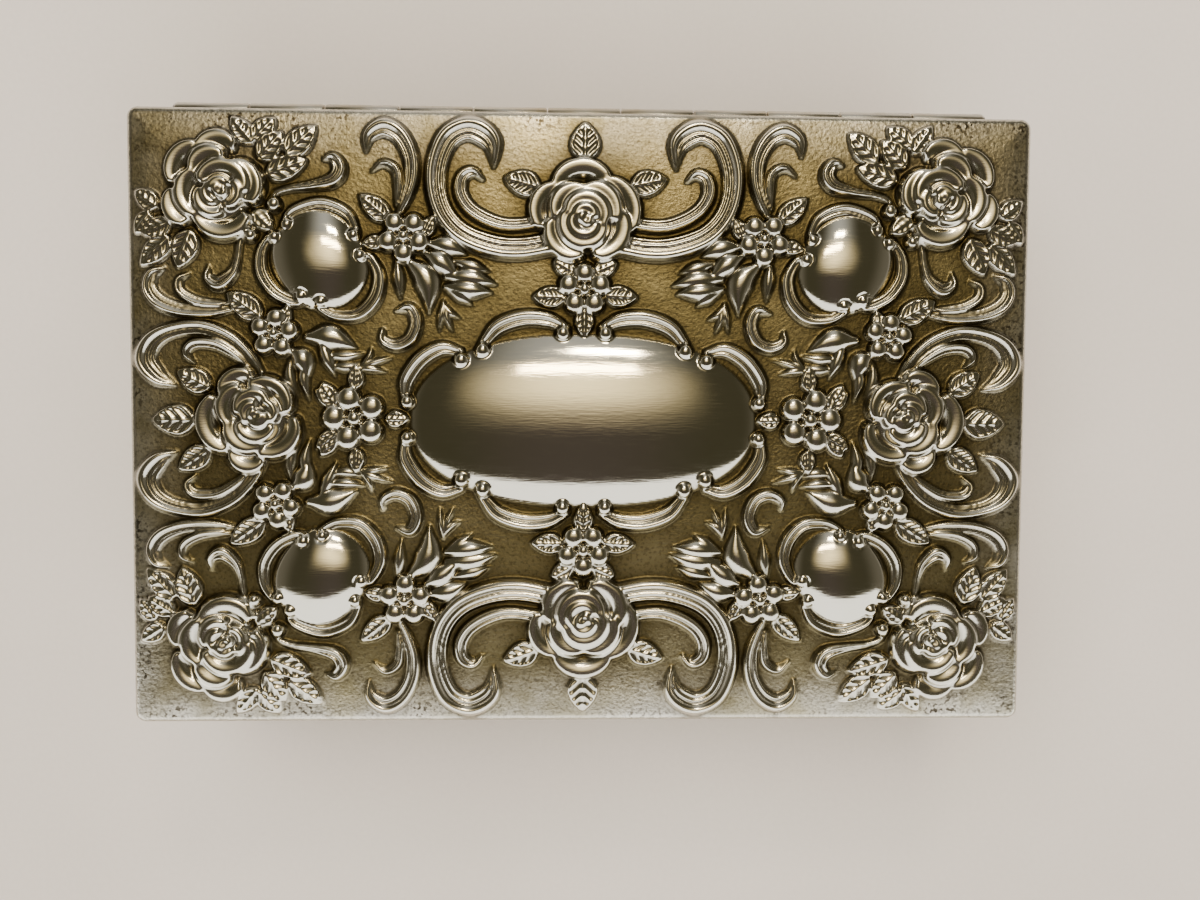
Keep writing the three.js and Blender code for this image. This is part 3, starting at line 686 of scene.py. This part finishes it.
def lid_finish():
    material, tree, shader = start_finish("antique_silver_lid", Metallic=1.0)
    patches = grain(tree, 45, 0.35, 0.65, detail=4)
    specks = grain(tree, 1600, 0.5, 0.7, detail=2)
    pits = times(tree, grain(tree, 950, 0.52, 0.6, detail=2), grain(tree, 90, 0.4, 0.6))
    rubbed = grain(tree, 220, 0.45, 0.7, stretch=(1, 12, 1), detail=5)
    raised, recess, domed = stored(tree, "raised"), stored(tree, "recess"), stored(tree, "dome")
    edge = put(tree, "MapRange", {"Value": stored(tree, "inland"), "To Min": 1.0, "To Max": 0.0}).outputs[0]
    edge = times(tree, edge, grain(tree, 110, 0.25, 0.6))
    base = colour(tree, patches, TARNISH, GOLDEN)
    # painted shade: the ground turns umber near the relief
    base = colour(tree, stored(tree, "painted_relief_shade"), base, PAINTED_SHADE_UMBER)
    base = colour(tree, edge, base, WORN)
    base = colour(tree, times(tree, pits, edge), base, PITCH)
    base = colour(tree, times(tree, specks, 0.35), base, PITCH)
    base = colour(tree, raised, base, SILVER)
    # patina in the grooves, with some painted shade at the foot of the ornaments, darkens towards pitch
    base = colour(tree, recess, base, PITCH)
    base = colour(tree, domed, base, SILVER)
    rough = number(tree, patches, 0.42, 0.33)
    rough = number(tree, raised, rough, 0.17)
    rough = number(tree, recess, rough, 0.5)
    rough = number(tree, domed, rough, number(tree, rubbed, 0.09, 0.16))
    feed(tree, shader, Base_Color=base, Roughness=rough)
    hammer = times(tree, grain(tree, 1400, 0.2, 0.8), stored(tree, "plain"))
    scratch = grain(tree, 300, 0.3, 0.7, stretch=(1, 9, 1))
    bumps(tree, shader, [(hammer, 0.3), (scratch, 0.03)], 0.0002)
    return material


def dress(piece, finish):
    piece.data.materials.clear()
    piece.data.materials.append(finish)


dress(stamped_lid, lid_finish())
print("lid finish has", len(stamped_lid.data.materials[0].node_tree.nodes), "nodes")

# %% [markdown]
# ## Walls of the body
# The body is a plain sheet bent round into a frame, with a half round bead rolled near its foot and a
# flange turned in below. One profile, swept round a rectangle with rounded corners, makes all of it.

# %% Sweep a profile round the box
CORNER_STEPS = 8


def outline(half_x, half_y, radius):
    points = []
    for quarter, (cx, cy) in enumerate([(1, 1), (-1, 1), (-1, -1), (1, -1)]):
        for step in range(CORNER_STEPS + 1):
            a = math.pi / 2 * (quarter + step / CORNER_STEPS)
            x = cx * (half_x - radius) + radius * math.cos(a)
            y = cy * (half_y - radius) + radius * math.sin(a)
            points.append((x, y))
    return points


def sweep_profile(name, profile, half_x, half_y):
    vertices, faces = [], []
    count = 4 * (CORNER_STEPS + 1)
    for outset, z in profile:
        radius = max(CORNER + outset, 0.3)
        vertices += [(x, y, z) for x, y in outline(half_x + outset, half_y + outset, radius)]
    rings = len(profile)
    for i in range(rings):
        a, b = i * count, (i + 1) % rings * count
        faces += [(a + j, a + (j + 1) % count, b + (j + 1) % count, b + j) for j in range(count)]
    return make_mesh(name, np.array(vertices) * MM, faces)


print("a ring round the box has", len(outline(HALF_X, HALF_Y, CORNER)), "points")

# %% Build the walls
low, high = (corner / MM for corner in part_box("body_shell"))
BEAD_OUT = 0.9
BODY_X, BODY_Y, RIM = high.x - BEAD_OUT, high.y - BEAD_OUT, high.z
FLANGE_FOOT, FLANGE = low.z, 6.0
BEAD_LOW, BEAD_TALL = FLANGE_FOOT + 1.6, 2.4


def wall_profile():
    bead = []
    for step in range(9):
        a = math.pi * step / 8
        bead.append((BEAD_OUT * math.sin(a), BEAD_LOW + BEAD_TALL / 2 * (1 - math.cos(a))))
    foot = [(-FLANGE, FLANGE_FOOT), (-1.0, FLANGE_FOOT), (-0.3, FLANGE_FOOT + 0.2), (0, FLANGE_FOOT + 0.8)]
    top = BEAD_LOW + BEAD_TALL
    wall = [(0, top + rise) for rise in (0.5, 1.3, 3.5, 12)] + [(0, RIM - 3), (0, RIM - 0.6)]
    rim = [(-0.18, RIM - 0.16), (-0.6, RIM), (-1.02, RIM - 0.16), (-SHEET, RIM - 0.6)]
    inside = [(-SHEET, FLANGE_FOOT + SHEET), (-FLANGE, FLANGE_FOOT + SHEET)]
    return foot + bead + wall + rim + inside


body_walls = sweep_profile("body_walls", wall_profile(), BODY_X, BODY_Y)
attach(body_walls, "body")
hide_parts("body_shell")
print(f"walls: {len(body_walls.data.polygons)} faces")

# %% Finish of the walls
def wall_finish():
    material, tree, shader = start_finish("antique_silver_walls", Metallic=1.0)
    patches = grain(tree, 26, 0.36, 0.66, detail=5)
    blooms = grain(tree, 120, 0.55, 0.75, detail=4)
    pits = grain(tree, 900, 0.66, 0.72, detail=2)
    recess = stored(tree, "recess")
    base = colour(tree, patches, (0.58, 0.55, 0.475, 1), (0.69, 0.665, 0.60, 1))
    base = colour(tree, times(tree, blooms, 0.3), base, GOLDEN)
    base = colour(tree, times(tree, pits, 0.35), base, PITCH)
    base = colour(tree, recess, base, PITCH)
    feed(tree, shader, Base_Color=base, Roughness=number(tree, patches, 0.27, 0.17))
    brushed = grain(tree, 260, 0.3, 0.7, stretch=(1, 1, 14))
    bumps(tree, shader, [(grain(tree, 1200, 0.2, 0.8), 0.2), (brushed, 0.06)], 0.0002)
    return material


wall_z = np.array([v.co.z for v in body_walls.data.vertices]) / MM
from_bead = np.minimum(np.abs(wall_z - BEAD_LOW), np.abs(wall_z - BEAD_LOW - BEAD_TALL))
store(body_walls, "recess", np.clip(1 - from_bead / 0.7, 0, 1) * 0.85)
dress(body_walls, wall_finish())
print("wall finish has", len(body_walls.data.materials[0].node_tree.nodes), "nodes")

# %% [markdown]
# ## The hinge
# A piano hinge runs along the back. Its knuckles are strips of brass rolled round a steel pin, and they
# belong to the body and to the lid by turns. Each knuckle is turned on an imaginary lathe with a small
# chamfer at its ends, because a sharp end would show as a paper cut in the reflections.

# %% Turn pieces on a lathe along x or y
def lathe(profile, centre, along, sides=28):
    vertices, faces = [], []
    for far, radius in profile:
        for i in range(sides):
            a = 2 * math.pi * i / sides
            u, v = radius * math.cos(a), radius * math.sin(a)
            offset = (far, u, v) if along == "x" else (-u, far, v)
            vertices.append(tuple(c + o for c, o in zip(centre, offset)))
    for i in range(len(profile) - 1):
        a, b = i * sides, (i + 1) * sides
        faces += [(a + (j + 1) % sides, a + j, b + j, b + (j + 1) % sides) for j in range(sides)]
    return vertices, faces


def gather(name, parts):
    vertices, faces = [], []
    for more_vertices, more_faces in parts:
        start = len(vertices)
        vertices += more_vertices
        faces += [tuple(i + start for i in face) for face in more_faces]
    piece = make_mesh(name, np.array(vertices) * MM, faces)
    tidy = bmesh.new()
    tidy.from_mesh(piece.data)
    bmesh.ops.recalc_face_normals(tidy, faces=tidy.faces)
    tidy.to_mesh(piece.data)
    tidy.free()
    return piece


print("a turned ring has", len(lathe([(0, 1)], (0, 0, 0), "x")[0]), "points")

# %% Knuckles and leaves
pin_low, pin_high = (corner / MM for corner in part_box("hinge_pin"))
PIN_HEAD = 0.6
AXIS_Y, AXIS_Z = (pin_low.y + pin_high.y) / 2, (pin_low.z + pin_high.z) / 2
KNUCKLES, KNUCKLE_R, BORE, CHAMFER = 11, 2.1, 1.0, 0.3
HINGE_HALF = pin_high.x - PIN_HEAD
KNUCKLE_LONG = 2 * HINGE_HALF / KNUCKLES
LEAF_THICK, LEAF_TALL = 0.8, 8.0
LEAF_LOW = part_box("body_hinge_leaf")[0].y / MM
LEAF_HIGH = LEAF_LOW + LEAF_THICK
SLACK = 0.15


def knuckle_span(i):
    start = -HINGE_HALF + i * KNUCKLE_LONG + SLACK
    return start, start + KNUCKLE_LONG - 2 * SLACK


def knuckle(i):
    start, end = knuckle_span(i)
    profile = [(start, BORE), (start, KNUCKLE_R - CHAMFER), (start + 0.09, KNUCKLE_R - 0.09),
               (start + CHAMFER, KNUCKLE_R), (end - CHAMFER, KNUCKLE_R), (end - 0.09, KNUCKLE_R - 0.09),
               (end, KNUCKLE_R - CHAMFER), (end, BORE), (start, BORE)]
    return lathe(profile, (0, AXIS_Y, AXIS_Z), "x")


def soft_box(low, high, edge):
    cube = bmesh.new()
    bmesh.ops.create_cube(cube, size=1)
    for v in cube.verts:
        v.co = [(l + h) / 2 + c * (h - l) for l, h, c in zip(low, high, v.co)]
    bmesh.ops.bevel(cube, geom=cube.edges[:], offset=edge, segments=2, profile=0.7, affect="EDGES")
    vertices = [tuple(v.co) for v in cube.verts]
    faces = [tuple(v.index for v in face.verts) for face in cube.faces]
    cube.free()
    return vertices, faces


def strip(start, end, near, far):
    low, high = sorted((near, far))
    return soft_box((start, LEAF_LOW, low), (end, LEAF_HIGH, high), 0.15)


def hinge_side(first, up):
    parts = []
    for i in range(first, KNUCKLES, 2):
        parts += [knuckle(i), strip(*knuckle_span(i), AXIS_Z - up * 0.9, AXIS_Z + up * 2.6)]
    parts.append(strip(SLACK - HINGE_HALF, HINGE_HALF - SLACK, AXIS_Z + up * 2.3, AXIS_Z + up * LEAF_TALL))
    return parts


body_leaf = gather("body_leaf", hinge_side(0, -1))
lid_leaf = gather("lid_leaf", hinge_side(1, 1))
for piece, body, node in ((body_leaf, "body", "body_hinge_leaf"), (lid_leaf, "lid", "lid_hinge_leaf")):
    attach(piece, body)
    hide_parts(node)
print(f"hinge: {KNUCKLES} knuckles of {KNUCKLE_LONG:.1f} mm")

# %% Pin and rivets
def turned_between(node, along, profile, sides=28):
    low, high = (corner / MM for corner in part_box(node))
    centre = [(a + b) / 2 for a, b in zip(low, high)]
    axis = "xyz".index(along)
    start, end = low[axis], high[axis]
    centre[axis] = 0
    placed = [(start + share * (end - start), radius) for share, radius in profile]
    return lathe(placed, centre, along, sides)


head_share = PIN_HEAD / (pin_high.x - pin_low.x)
PIN_R, HEAD_R = 0.9, KNUCKLE_R * 0.8
pin_end = [(0, 0), (0, HEAD_R - 0.45), (head_share * 0.4, HEAD_R - 0.1)]
pin_end += [(head_share, HEAD_R), (head_share, PIN_R)]
pin_profile = pin_end + [(1 - share, radius) for share, radius in reversed(pin_end)]
hinge_pin = gather("pin", [turned_between("hinge_pin", "x", pin_profile)])
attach(hinge_pin, "body")
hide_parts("hinge_pin")

RIVET_R, RIVET_HEAD_R, RIVET_HEAD_TALL = 0.8, 1.7, 0.8


def rivet_profile(node):
    low, high = (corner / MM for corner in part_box(node))
    head = RIVET_HEAD_TALL / (high.y - low.y)
    shank = [(0, 0), (0, RIVET_R), (1 - head, RIVET_R), (1 - head, RIVET_HEAD_R - 0.05)]
    cap = [(1 - head * (1 - math.sin(a)), RIVET_HEAD_R * math.cos(a)) for a in np.linspace(0.12, 1.5, 7)]
    return shank + cap + [(1, 0)]


RIVETS = 5
rivets = []
for side in ("body", "lid"):
    for i in range(1, RIVETS + 1):
        node = f"{side}_hinge_rivet_{i}"
        head = gather(f"{side}_rivet_{i}", [turned_between(node, "y", rivet_profile(node), 24)])
        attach(head, side)
        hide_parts(node)
        rivets.append(head)
print("pin and", 2 * RIVETS, "rivets")

# %% [markdown]
# ## Finish of the hinge
# The hinge was plated after it was rolled, and never darkened. It shows the drawing lines of the strip,
# which run along the box, and a yellow bloom here and there.

# %% Mix the hinge silver and the steel
def hinge_finish():
    material, tree, shader = start_finish("hinge_silver", Metallic=1.0)
    bloom = grain(tree, 90, 0.45, 0.75, detail=4)
    drawn = grain(tree, 900, 0.35, 0.65, stretch=(0.03, 1, 1))
    base = colour(tree, bloom, (0.72, 0.70, 0.65, 1), (0.60, 0.54, 0.42, 1))
    base = colour(tree, times(tree, drawn, 0.18), base, PITCH)
    feed(tree, shader, Base_Color=base, Roughness=number(tree, drawn, 0.22, 0.34))
    bumps(tree, shader, [(drawn, 0.25), (grain(tree, 1500, 0.2, 0.8), 0.1)], 0.0001)
    return material


def steel_finish():
    material, tree, shader = start_finish("steel_pin", Metallic=1.0)
    drawn = grain(tree, 1200, 0.35, 0.65, stretch=(0.05, 1, 1))
    feed(tree, shader, Base_Color=colour(tree, drawn, (0.50, 0.49, 0.47, 1), (0.62, 0.61, 0.6, 1)))
    feed(tree, shader, Roughness=number(tree, drawn, 0.25, 0.4))
    bumps(tree, shader, [(drawn, 0.2)], 0.0001)
    return material


hinge_silver = hinge_finish()
for piece in [body_leaf, lid_leaf] + rivets:
    dress(piece, hinge_silver)
dress(hinge_pin, steel_finish())
print("hinge silver on", 2 + len(rivets), "pieces, steel on the pin")

# %% [markdown]
# ## Velvet boards
# The four walls are lined with thin boards wrapped in velvet, which stand a little above the metal and let
# the lid find its place. The cloth rounds every edge and bulges slightly between them, so each board is a
# fine block whose faces swell towards their middles.

# %% A wrapped board
def grid_block(low, high, cell):
    counts = [max(2, round((h - l) / c)) for l, h, c in zip(low, high, cell)]
    block = bmesh.new()
    known = {}

    def vertex(i, j, k):
        key = (i, j, k)
        if key not in known:
            share = [n / c for n, c in zip(key, counts)]
            known[key] = block.verts.new([l + s * (h - l) for l, h, s in zip(low, high, share)])
        return known[key]

    def sheet_of(axis, side):
        u, v = [n for n in range(3) if n != axis]
        for a in range(counts[u]):
            for b in range(counts[v]):
                corners = []
                for da, db in ((0, 0), (1, 0), (1, 1), (0, 1)):
                    key = [0, 0, 0]
                    key[axis], key[u], key[v] = side * counts[axis], a + da, b + db
                    corners.append(vertex(*key))
                block.faces.new(corners)

    for axis in range(3):
        for side in (0, 1):
            sheet_of(axis, side)
    bmesh.ops.recalc_face_normals(block, faces=block.faces)
    return block


def round_block(name, low, high, cell, edge, swell=0.0, faces_axis=2):
    block = grid_block(low, high, cell)
    low, high = np.array(low), np.array(high)
    middle, half = (low + high) / 2, (high - low) / 2
    for v in block.verts:
        place = np.array(v.co) - middle
        core = np.clip(place, edge - half, half - edge)
        away = place - core
        long = np.linalg.norm(away)
        if long > 0:
            place = core + away * min(1, edge / long)
        u = place / half
        flat = [n for n in range(3) if n != faces_axis]
        crown = (1 - u[flat[0]] ** 4) * (1 - u[flat[1]] ** 4)
        place[faces_axis] += swell * crown * np.sign(u[faces_axis]) * abs(u[faces_axis])
        v.co = (place + middle) * MM
    mesh = bpy.data.meshes.new(name)
    block.to_mesh(mesh)
    block.free()
    mesh.polygons.foreach_set("use_smooth", [True] * len(mesh.polygons))
    piece = bpy.data.objects.new(name, mesh)
    bpy.context.scene.collection.objects.link(piece)
    return piece


LINING = {"lining_front": 1, "lining_back": 1, "lining_left": 0, "lining_right": 0}
velvet_pieces = []
for node, thin_axis in LINING.items():
    low, high = (np.array(corner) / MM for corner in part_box(node))
    low[thin_axis] += 0.12
    high[thin_axis] -= 0.12
    cell = [2.0, 2.0, 1.5]
    cell[thin_axis] = 0.5
    board = round_block(node.replace("lining", "velvet_board"), low, high, cell, 0.8, 0.12, thin_axis)
    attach(board, "body")
    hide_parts(node)
    velvet_pieces.append(board)
print(len(velvet_pieces), "boards")

# %% [markdown]
# ## Padded floor and lid
# The floor and the inside of the lid are soft: a layer of wadding under velvet. A small cloth simulation
# blows each pad up like a cushion, starting from a slab that is a little too thin, and the cloth pulls
# its own sides in and folds slightly near the corners. No point may move further than a limit, which keeps
# the pad in its place between the boards.

# %% Read, move and fix the points of a piece
def apply_modifiers(piece):
    shown = piece.evaluated_get(bpy.context.evaluated_depsgraph_get())
    finished = bpy.data.meshes.new_from_object(shown)
    piece.modifiers.clear()
    piece.data = finished


def points_of(piece):
    co = np.zeros(len(piece.data.vertices) * 3)
    piece.data.vertices.foreach_get("co", co)
    return co.reshape(-1, 3)


def place_points(piece, points):
    piece.data.vertices.foreach_set("co", points.ravel())
    piece.data.update()


print("the walls have", len(points_of(body_walls)), "points")

# %% Blow up a pad
FRAMES = 12


def blow_up(pad, voxel, limits):
    remesh = pad.modifiers.new("even_cells", "REMESH")
    remesh.mode, remesh.voxel_size = "VOXEL", voxel * MM
    apply_modifiers(pad)
    start = points_of(pad)
    cloth = pad.modifiers.new("wadding", "CLOTH")
    cloth.settings.use_pressure = True
    cloth.settings.uniform_pressure_force = 4
    cloth.settings.effector_weights.gravity = 0
    cloth.settings.tension_stiffness = 8
    cloth.settings.bending_stiffness = 0.3
    for moment in range(1, FRAMES + 1):
        bpy.context.scene.frame_set(moment)
    apply_modifiers(pad)
    bpy.context.scene.frame_set(1)
    limits = np.array(limits) * MM
    place_points(pad, start + np.clip(points_of(pad) - start, -limits, limits))
    refine = pad.modifiers.new("refine", "SUBSURF")
    refine.levels = refine.render_levels = 1
    apply_modifiers(pad)
    pad.data.polygons.foreach_set("use_smooth", [True] * len(pad.data.polygons))


print("each pad is blown up for", FRAMES, "frames")

# %% Make both pads
PAD_CELL = 1.5
PAD_LIMITS = (0.25, 0.25, 1.2)


def make_pad(name, node, body):
    low, high = (np.array(corner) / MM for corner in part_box(node))
    low, high = low + [0.15, 0.15, 0.5], high - [0.15, 0.15, 0.8]
    pad = round_block(name, low, high, [3, 3, 1], 0.9)
    blow_up(pad, PAD_CELL, PAD_LIMITS)
    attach(pad, body)
    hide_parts(node)
    print(name, len(pad.data.polygons), "faces,", [round(x / MM, 1) for x in pad.dimensions], "mm")
    return pad


velvet_pieces.append(make_pad("velvet_floor", "lining_floor", "body"))
velvet_pieces.append(make_pad("velvet_lid_pad", "lid_velvet_pad", "lid"))

# %% [markdown]
# ## Velvet
# Velvet is a forest of short threads. Seen from above it is deep and dark, and at a shallow angle the sides
# of the threads glow: that is the sheen of the shader. Hands brush the pile one way and another, which
# leaves soft lighter and darker areas.

# %% Mix the velvet
def velvet_finish():
    material, tree, shader = start_finish("velvet", Specular_IOR_Level=0.15)
    shader.inputs["Sheen Weight"].default_value = 0.55
    shader.inputs["Sheen Roughness"].default_value = 0.35
    shader.inputs["Sheen Tint"].default_value = (0.5, 0.54, 0.85, 1)
    brushed = grain(tree, 38, 0.35, 0.68, stretch=(1, 1.8, 1), detail=3)
    pile = grain(tree, 2600, 0.25, 0.75, detail=2)
    base = colour(tree, brushed, (0.011, 0.014, 0.048, 1), (0.028, 0.034, 0.105, 1))
    base = colour(tree, times(tree, pile, 0.5), base, (0.004, 0.005, 0.022, 1))
    feed(tree, shader, Base_Color=base, Roughness=number(tree, brushed, 0.95, 0.8))
    bumps(tree, shader, [(pile, 0.5), (grain(tree, 240, 0.3, 0.7), 0.25)], 0.0003)
    return material


velvet = velvet_finish()
for piece in velvet_pieces:
    dress(piece, velvet)


print("velvet on", len(velvet_pieces), "pieces")

# %% [markdown]
# ## Felt underneath, and two boards
# The box stands on a sheet of pressed felt, glued into the flange. Its fibres lie in all directions, which
# a stretched noise crossed with another one gives. Two fibreboards stiffen the base and carry the pad of
# the lid. They keep their CAD shape and only need their brown speckled surface.

# %% Felt pad
low, high = (np.array(corner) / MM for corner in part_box("felt_base_pad"))
felt_pad = round_block("felt_sole", low, high - [0, 0, 0.02], [2.5, 2.5, 0.6], 0.5)
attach(felt_pad, "body")
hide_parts("felt_base_pad")


def felt_finish():
    material, tree, shader = start_finish("felt", Specular_IOR_Level=0.1)
    shader.inputs["Sheen Weight"].default_value = 0.4
    shader.inputs["Sheen Roughness"].default_value = 0.6
    shader.inputs["Sheen Tint"].default_value = (0.6, 0.65, 0.55, 1)
    one_way = grain(tree, 900, 0.35, 0.65, stretch=(1, 0.12, 1))
    other_way = grain(tree, 900, 0.35, 0.65, stretch=(0.12, 1, 1))
    fibres = put(tree, "Math", {0: one_way, 1: other_way}, operation="MAXIMUM").outputs[0]
    base = colour(tree, fibres, (0.030, 0.036, 0.028, 1), (0.085, 0.095, 0.075, 1))
    base = colour(tree, grain(tree, 30, 0.4, 0.7), base, (0.05, 0.052, 0.04, 1))
    feed(tree, shader, Base_Color=base, Roughness=number(tree, fibres, 0.98, 0.85))
    bumps(tree, shader, [(fibres, 0.5)], 0.0003)
    return material


dress(felt_pad, felt_finish())
print("felt:", len(felt_pad.data.polygons), "faces")

# %% Fibreboard
def board_finish():
    material, tree, shader = start_finish("fibreboard", Specular_IOR_Level=0.3)
    fibres = grain(tree, 1100, 0.3, 0.7, stretch=(1, 0.3, 1))
    clouds = grain(tree, 60, 0.35, 0.65, detail=4)
    base = colour(tree, clouds, (0.33, 0.22, 0.12, 1), (0.45, 0.32, 0.19, 1))
    base = colour(tree, times(tree, fibres, 0.5), base, (0.2, 0.12, 0.06, 1))
    feed(tree, shader, Base_Color=base, Roughness=number(tree, fibres, 0.8, 0.65))
    bumps(tree, shader, [(fibres, 0.3)], 0.0002)
    return material


fibreboard = board_finish()
for node in ("base_plate", "lid_back_board"):
    dress(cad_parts[node], fibreboard)


print("fibreboard has", len(fibreboard.node_tree.nodes), "nodes")

# %% [markdown]
# ## Table, light and surroundings
# Polished metal shows its surroundings more than itself. A white card stands at the near side, just outside
# the view, and fills every slope that faces it. Two warm lamps hang high at the far side. They give the
# ground its golden glow, and each dome a bright spot. The sides of the room stay dim and olive, so the
# ground darkens left and right.

# %% Table top
def table_finish():
    material, tree, shader = start_finish("table", Specular_IOR_Level=0.2)
    cloudy = grain(tree, 6, 0.3, 0.7)
    fine = grain(tree, 700, 0.3, 0.7)
    base = colour(tree, cloudy, (0.60, 0.545, 0.49, 1), (0.66, 0.60, 0.54, 1))
    base = colour(tree, times(tree, fine, 0.1), base, (0.5, 0.45, 0.4, 1))
    feed(tree, shader, Base_Color=base, Roughness=number(tree, cloudy, 0.75, 0.65))
    bumps(tree, shader, [(fine, 0.1)], 0.0002)
    return material


TABLE = 6.0
table = make_mesh("table", np.array([(-1, -1, 0), (1, -1, 0), (1, 1, 0), (-1, 1, 0)]) * TABLE, [(0, 1, 2, 3)])
dress(table, table_finish())
print(f"table {2 * TABLE:.0f} m wide")

# %% Lights
def panel(name, place, target, wide, tall, brightness, tint, lights_table=True):
    light = bpy.data.lights.new(name, "AREA")
    light.shape = "RECTANGLE"
    light.size, light.size_y = wide * MM, tall * MM
    light.energy = brightness * math.pi * wide * tall * MM**2
    light.color = tint
    holder = bpy.data.objects.new(name, light)
    holder.location = Vector(place) * MM
    facing = Vector(target) * MM - holder.location
    holder.rotation_euler = facing.to_track_quat("-Z", "Y").to_euler()
    holder.visible_camera = False
    holder.visible_diffuse = lights_table
    bpy.context.scene.collection.objects.link(holder)


panel("near_card", (0, -112, 131), (0, 0, 131), 560, 136, 1.15, (1.0, 0.99, 0.96), lights_table=False)
panel("gold_lamp", (0, 340, 760), (0, 40, 60), 260, 90, 6.5, (1.0, 0.82, 0.55), lights_table=False)
panel("far_lamp", (80, 620, 760), (0, 0, 60), 170, 110, 15.0, (1.0, 0.88, 0.66))


def daylight(name, direction, brightness, softness):
    light = bpy.data.lights.new(name, "SUN")
    light.energy, light.angle = brightness, math.radians(softness)
    holder = bpy.data.objects.new(name, light)
    holder.rotation_euler = Vector(direction).to_track_quat("-Z", "Y").to_euler()
    holder.visible_glossy = False
    bpy.context.scene.collection.objects.link(holder)


daylight("window", (0.35, -0.4, -1), 2.0, 50)
daylight("front_fill", (-0.25, 0.7, -1), 1.5, 60)
print("lights:", ", ".join(light.name for light in bpy.data.lights))

# %% The room
BEHIND_US = (0.125, 0.107, 0.092, 1)
WINDOW_WALL = (1.42, 1.2, 0.79, 1)
FAR_WALL = (0.48, 0.47, 0.44, 1)
SIDE_WALLS = (0.1, 0.091, 0.062, 1)
SIDE_CORNERS = (0.19, 0.175, 0.14, 1)
HORIZON = (0.52, 0.49, 0.45, 1)


def soft_step(tree, value, start, end):
    limits = {"Value": value, "From Min": start, "From Max": end}
    return put(tree, "MapRange", limits, interpolation_type="SMOOTHSTEP").outputs[0]


def build_room():
    room = bpy.data.worlds.new("room")
    bpy.context.scene.world = room
    room.use_nodes = True
    tree = room.node_tree
    around = put(tree, "TexCoord").outputs["Generated"]
    parts = put(tree, "SeparateXYZ", {"Vector": around}).outputs
    sideways = put(tree, "Math", {0: parts["X"]}, operation="ABSOLUTE").outputs[0]
    dim = soft_step(tree, sideways, 0.0, 0.45)
    air = colour(tree, soft_step(tree, parts["Y"], -0.1, 0.22), BEHIND_US, WINDOW_WALL)
    air = colour(tree, soft_step(tree, parts["Y"], 0.25, 0.6), air, FAR_WALL)
    air = colour(tree, dim, air, SIDE_WALLS)
    air = colour(tree, soft_step(tree, sideways, 0.6, 0.95), air, SIDE_CORNERS)
    air = colour(tree, soft_step(tree, parts["Z"], 0.0, 0.3), HORIZON, air)
    tree.links.new(air, tree.nodes["Background"].inputs["Color"])
    tree.nodes["Background"].inputs["Strength"].default_value = 1.0


build_room()
print("the room is mixed from", len(bpy.context.scene.world.node_tree.nodes), "nodes")

# %% [markdown]
# ## Camera
# The camera looks almost straight down from 242 mm above the lid, as near as a hand held one. So close,
# the lens shows a little of the far walls of every scroll. It aims slightly beside the middle of the lid.

# %% Place the camera
CAMERA_ABOVE = 242.0
camera = bpy.data.objects.new("camera", bpy.data.cameras.new("camera"))
bpy.context.scene.collection.objects.link(camera)
camera.data.sensor_width = 36
camera.data.lens = 32.6
camera.data.clip_start = 0.01
camera.location = Vector((-4.8, 5.6, GROUND + CAMERA_ABOVE)) * MM
aim = Vector((3.7, -6.6, GROUND - EDGE_ROUND)) * MM
ahead = (aim - camera.location).normalized()
right = ahead.cross(Vector((-0.006, 1, 0))).normalized()
camera.rotation_euler = Matrix((right, right.cross(ahead), -ahead)).transposed().to_euler()
bpy.context.scene.camera = camera
print(f"lens {camera.data.lens:.1f} mm, {CAMERA_ABOVE:.0f} mm above the ground of the lid")

# %% Tone of the picture
bpy.context.scene.view_settings.view_transform = "AgX"
bpy.context.scene.view_settings.look = "AgX - High Contrast"
print("look:", bpy.context.scene.view_settings.look)
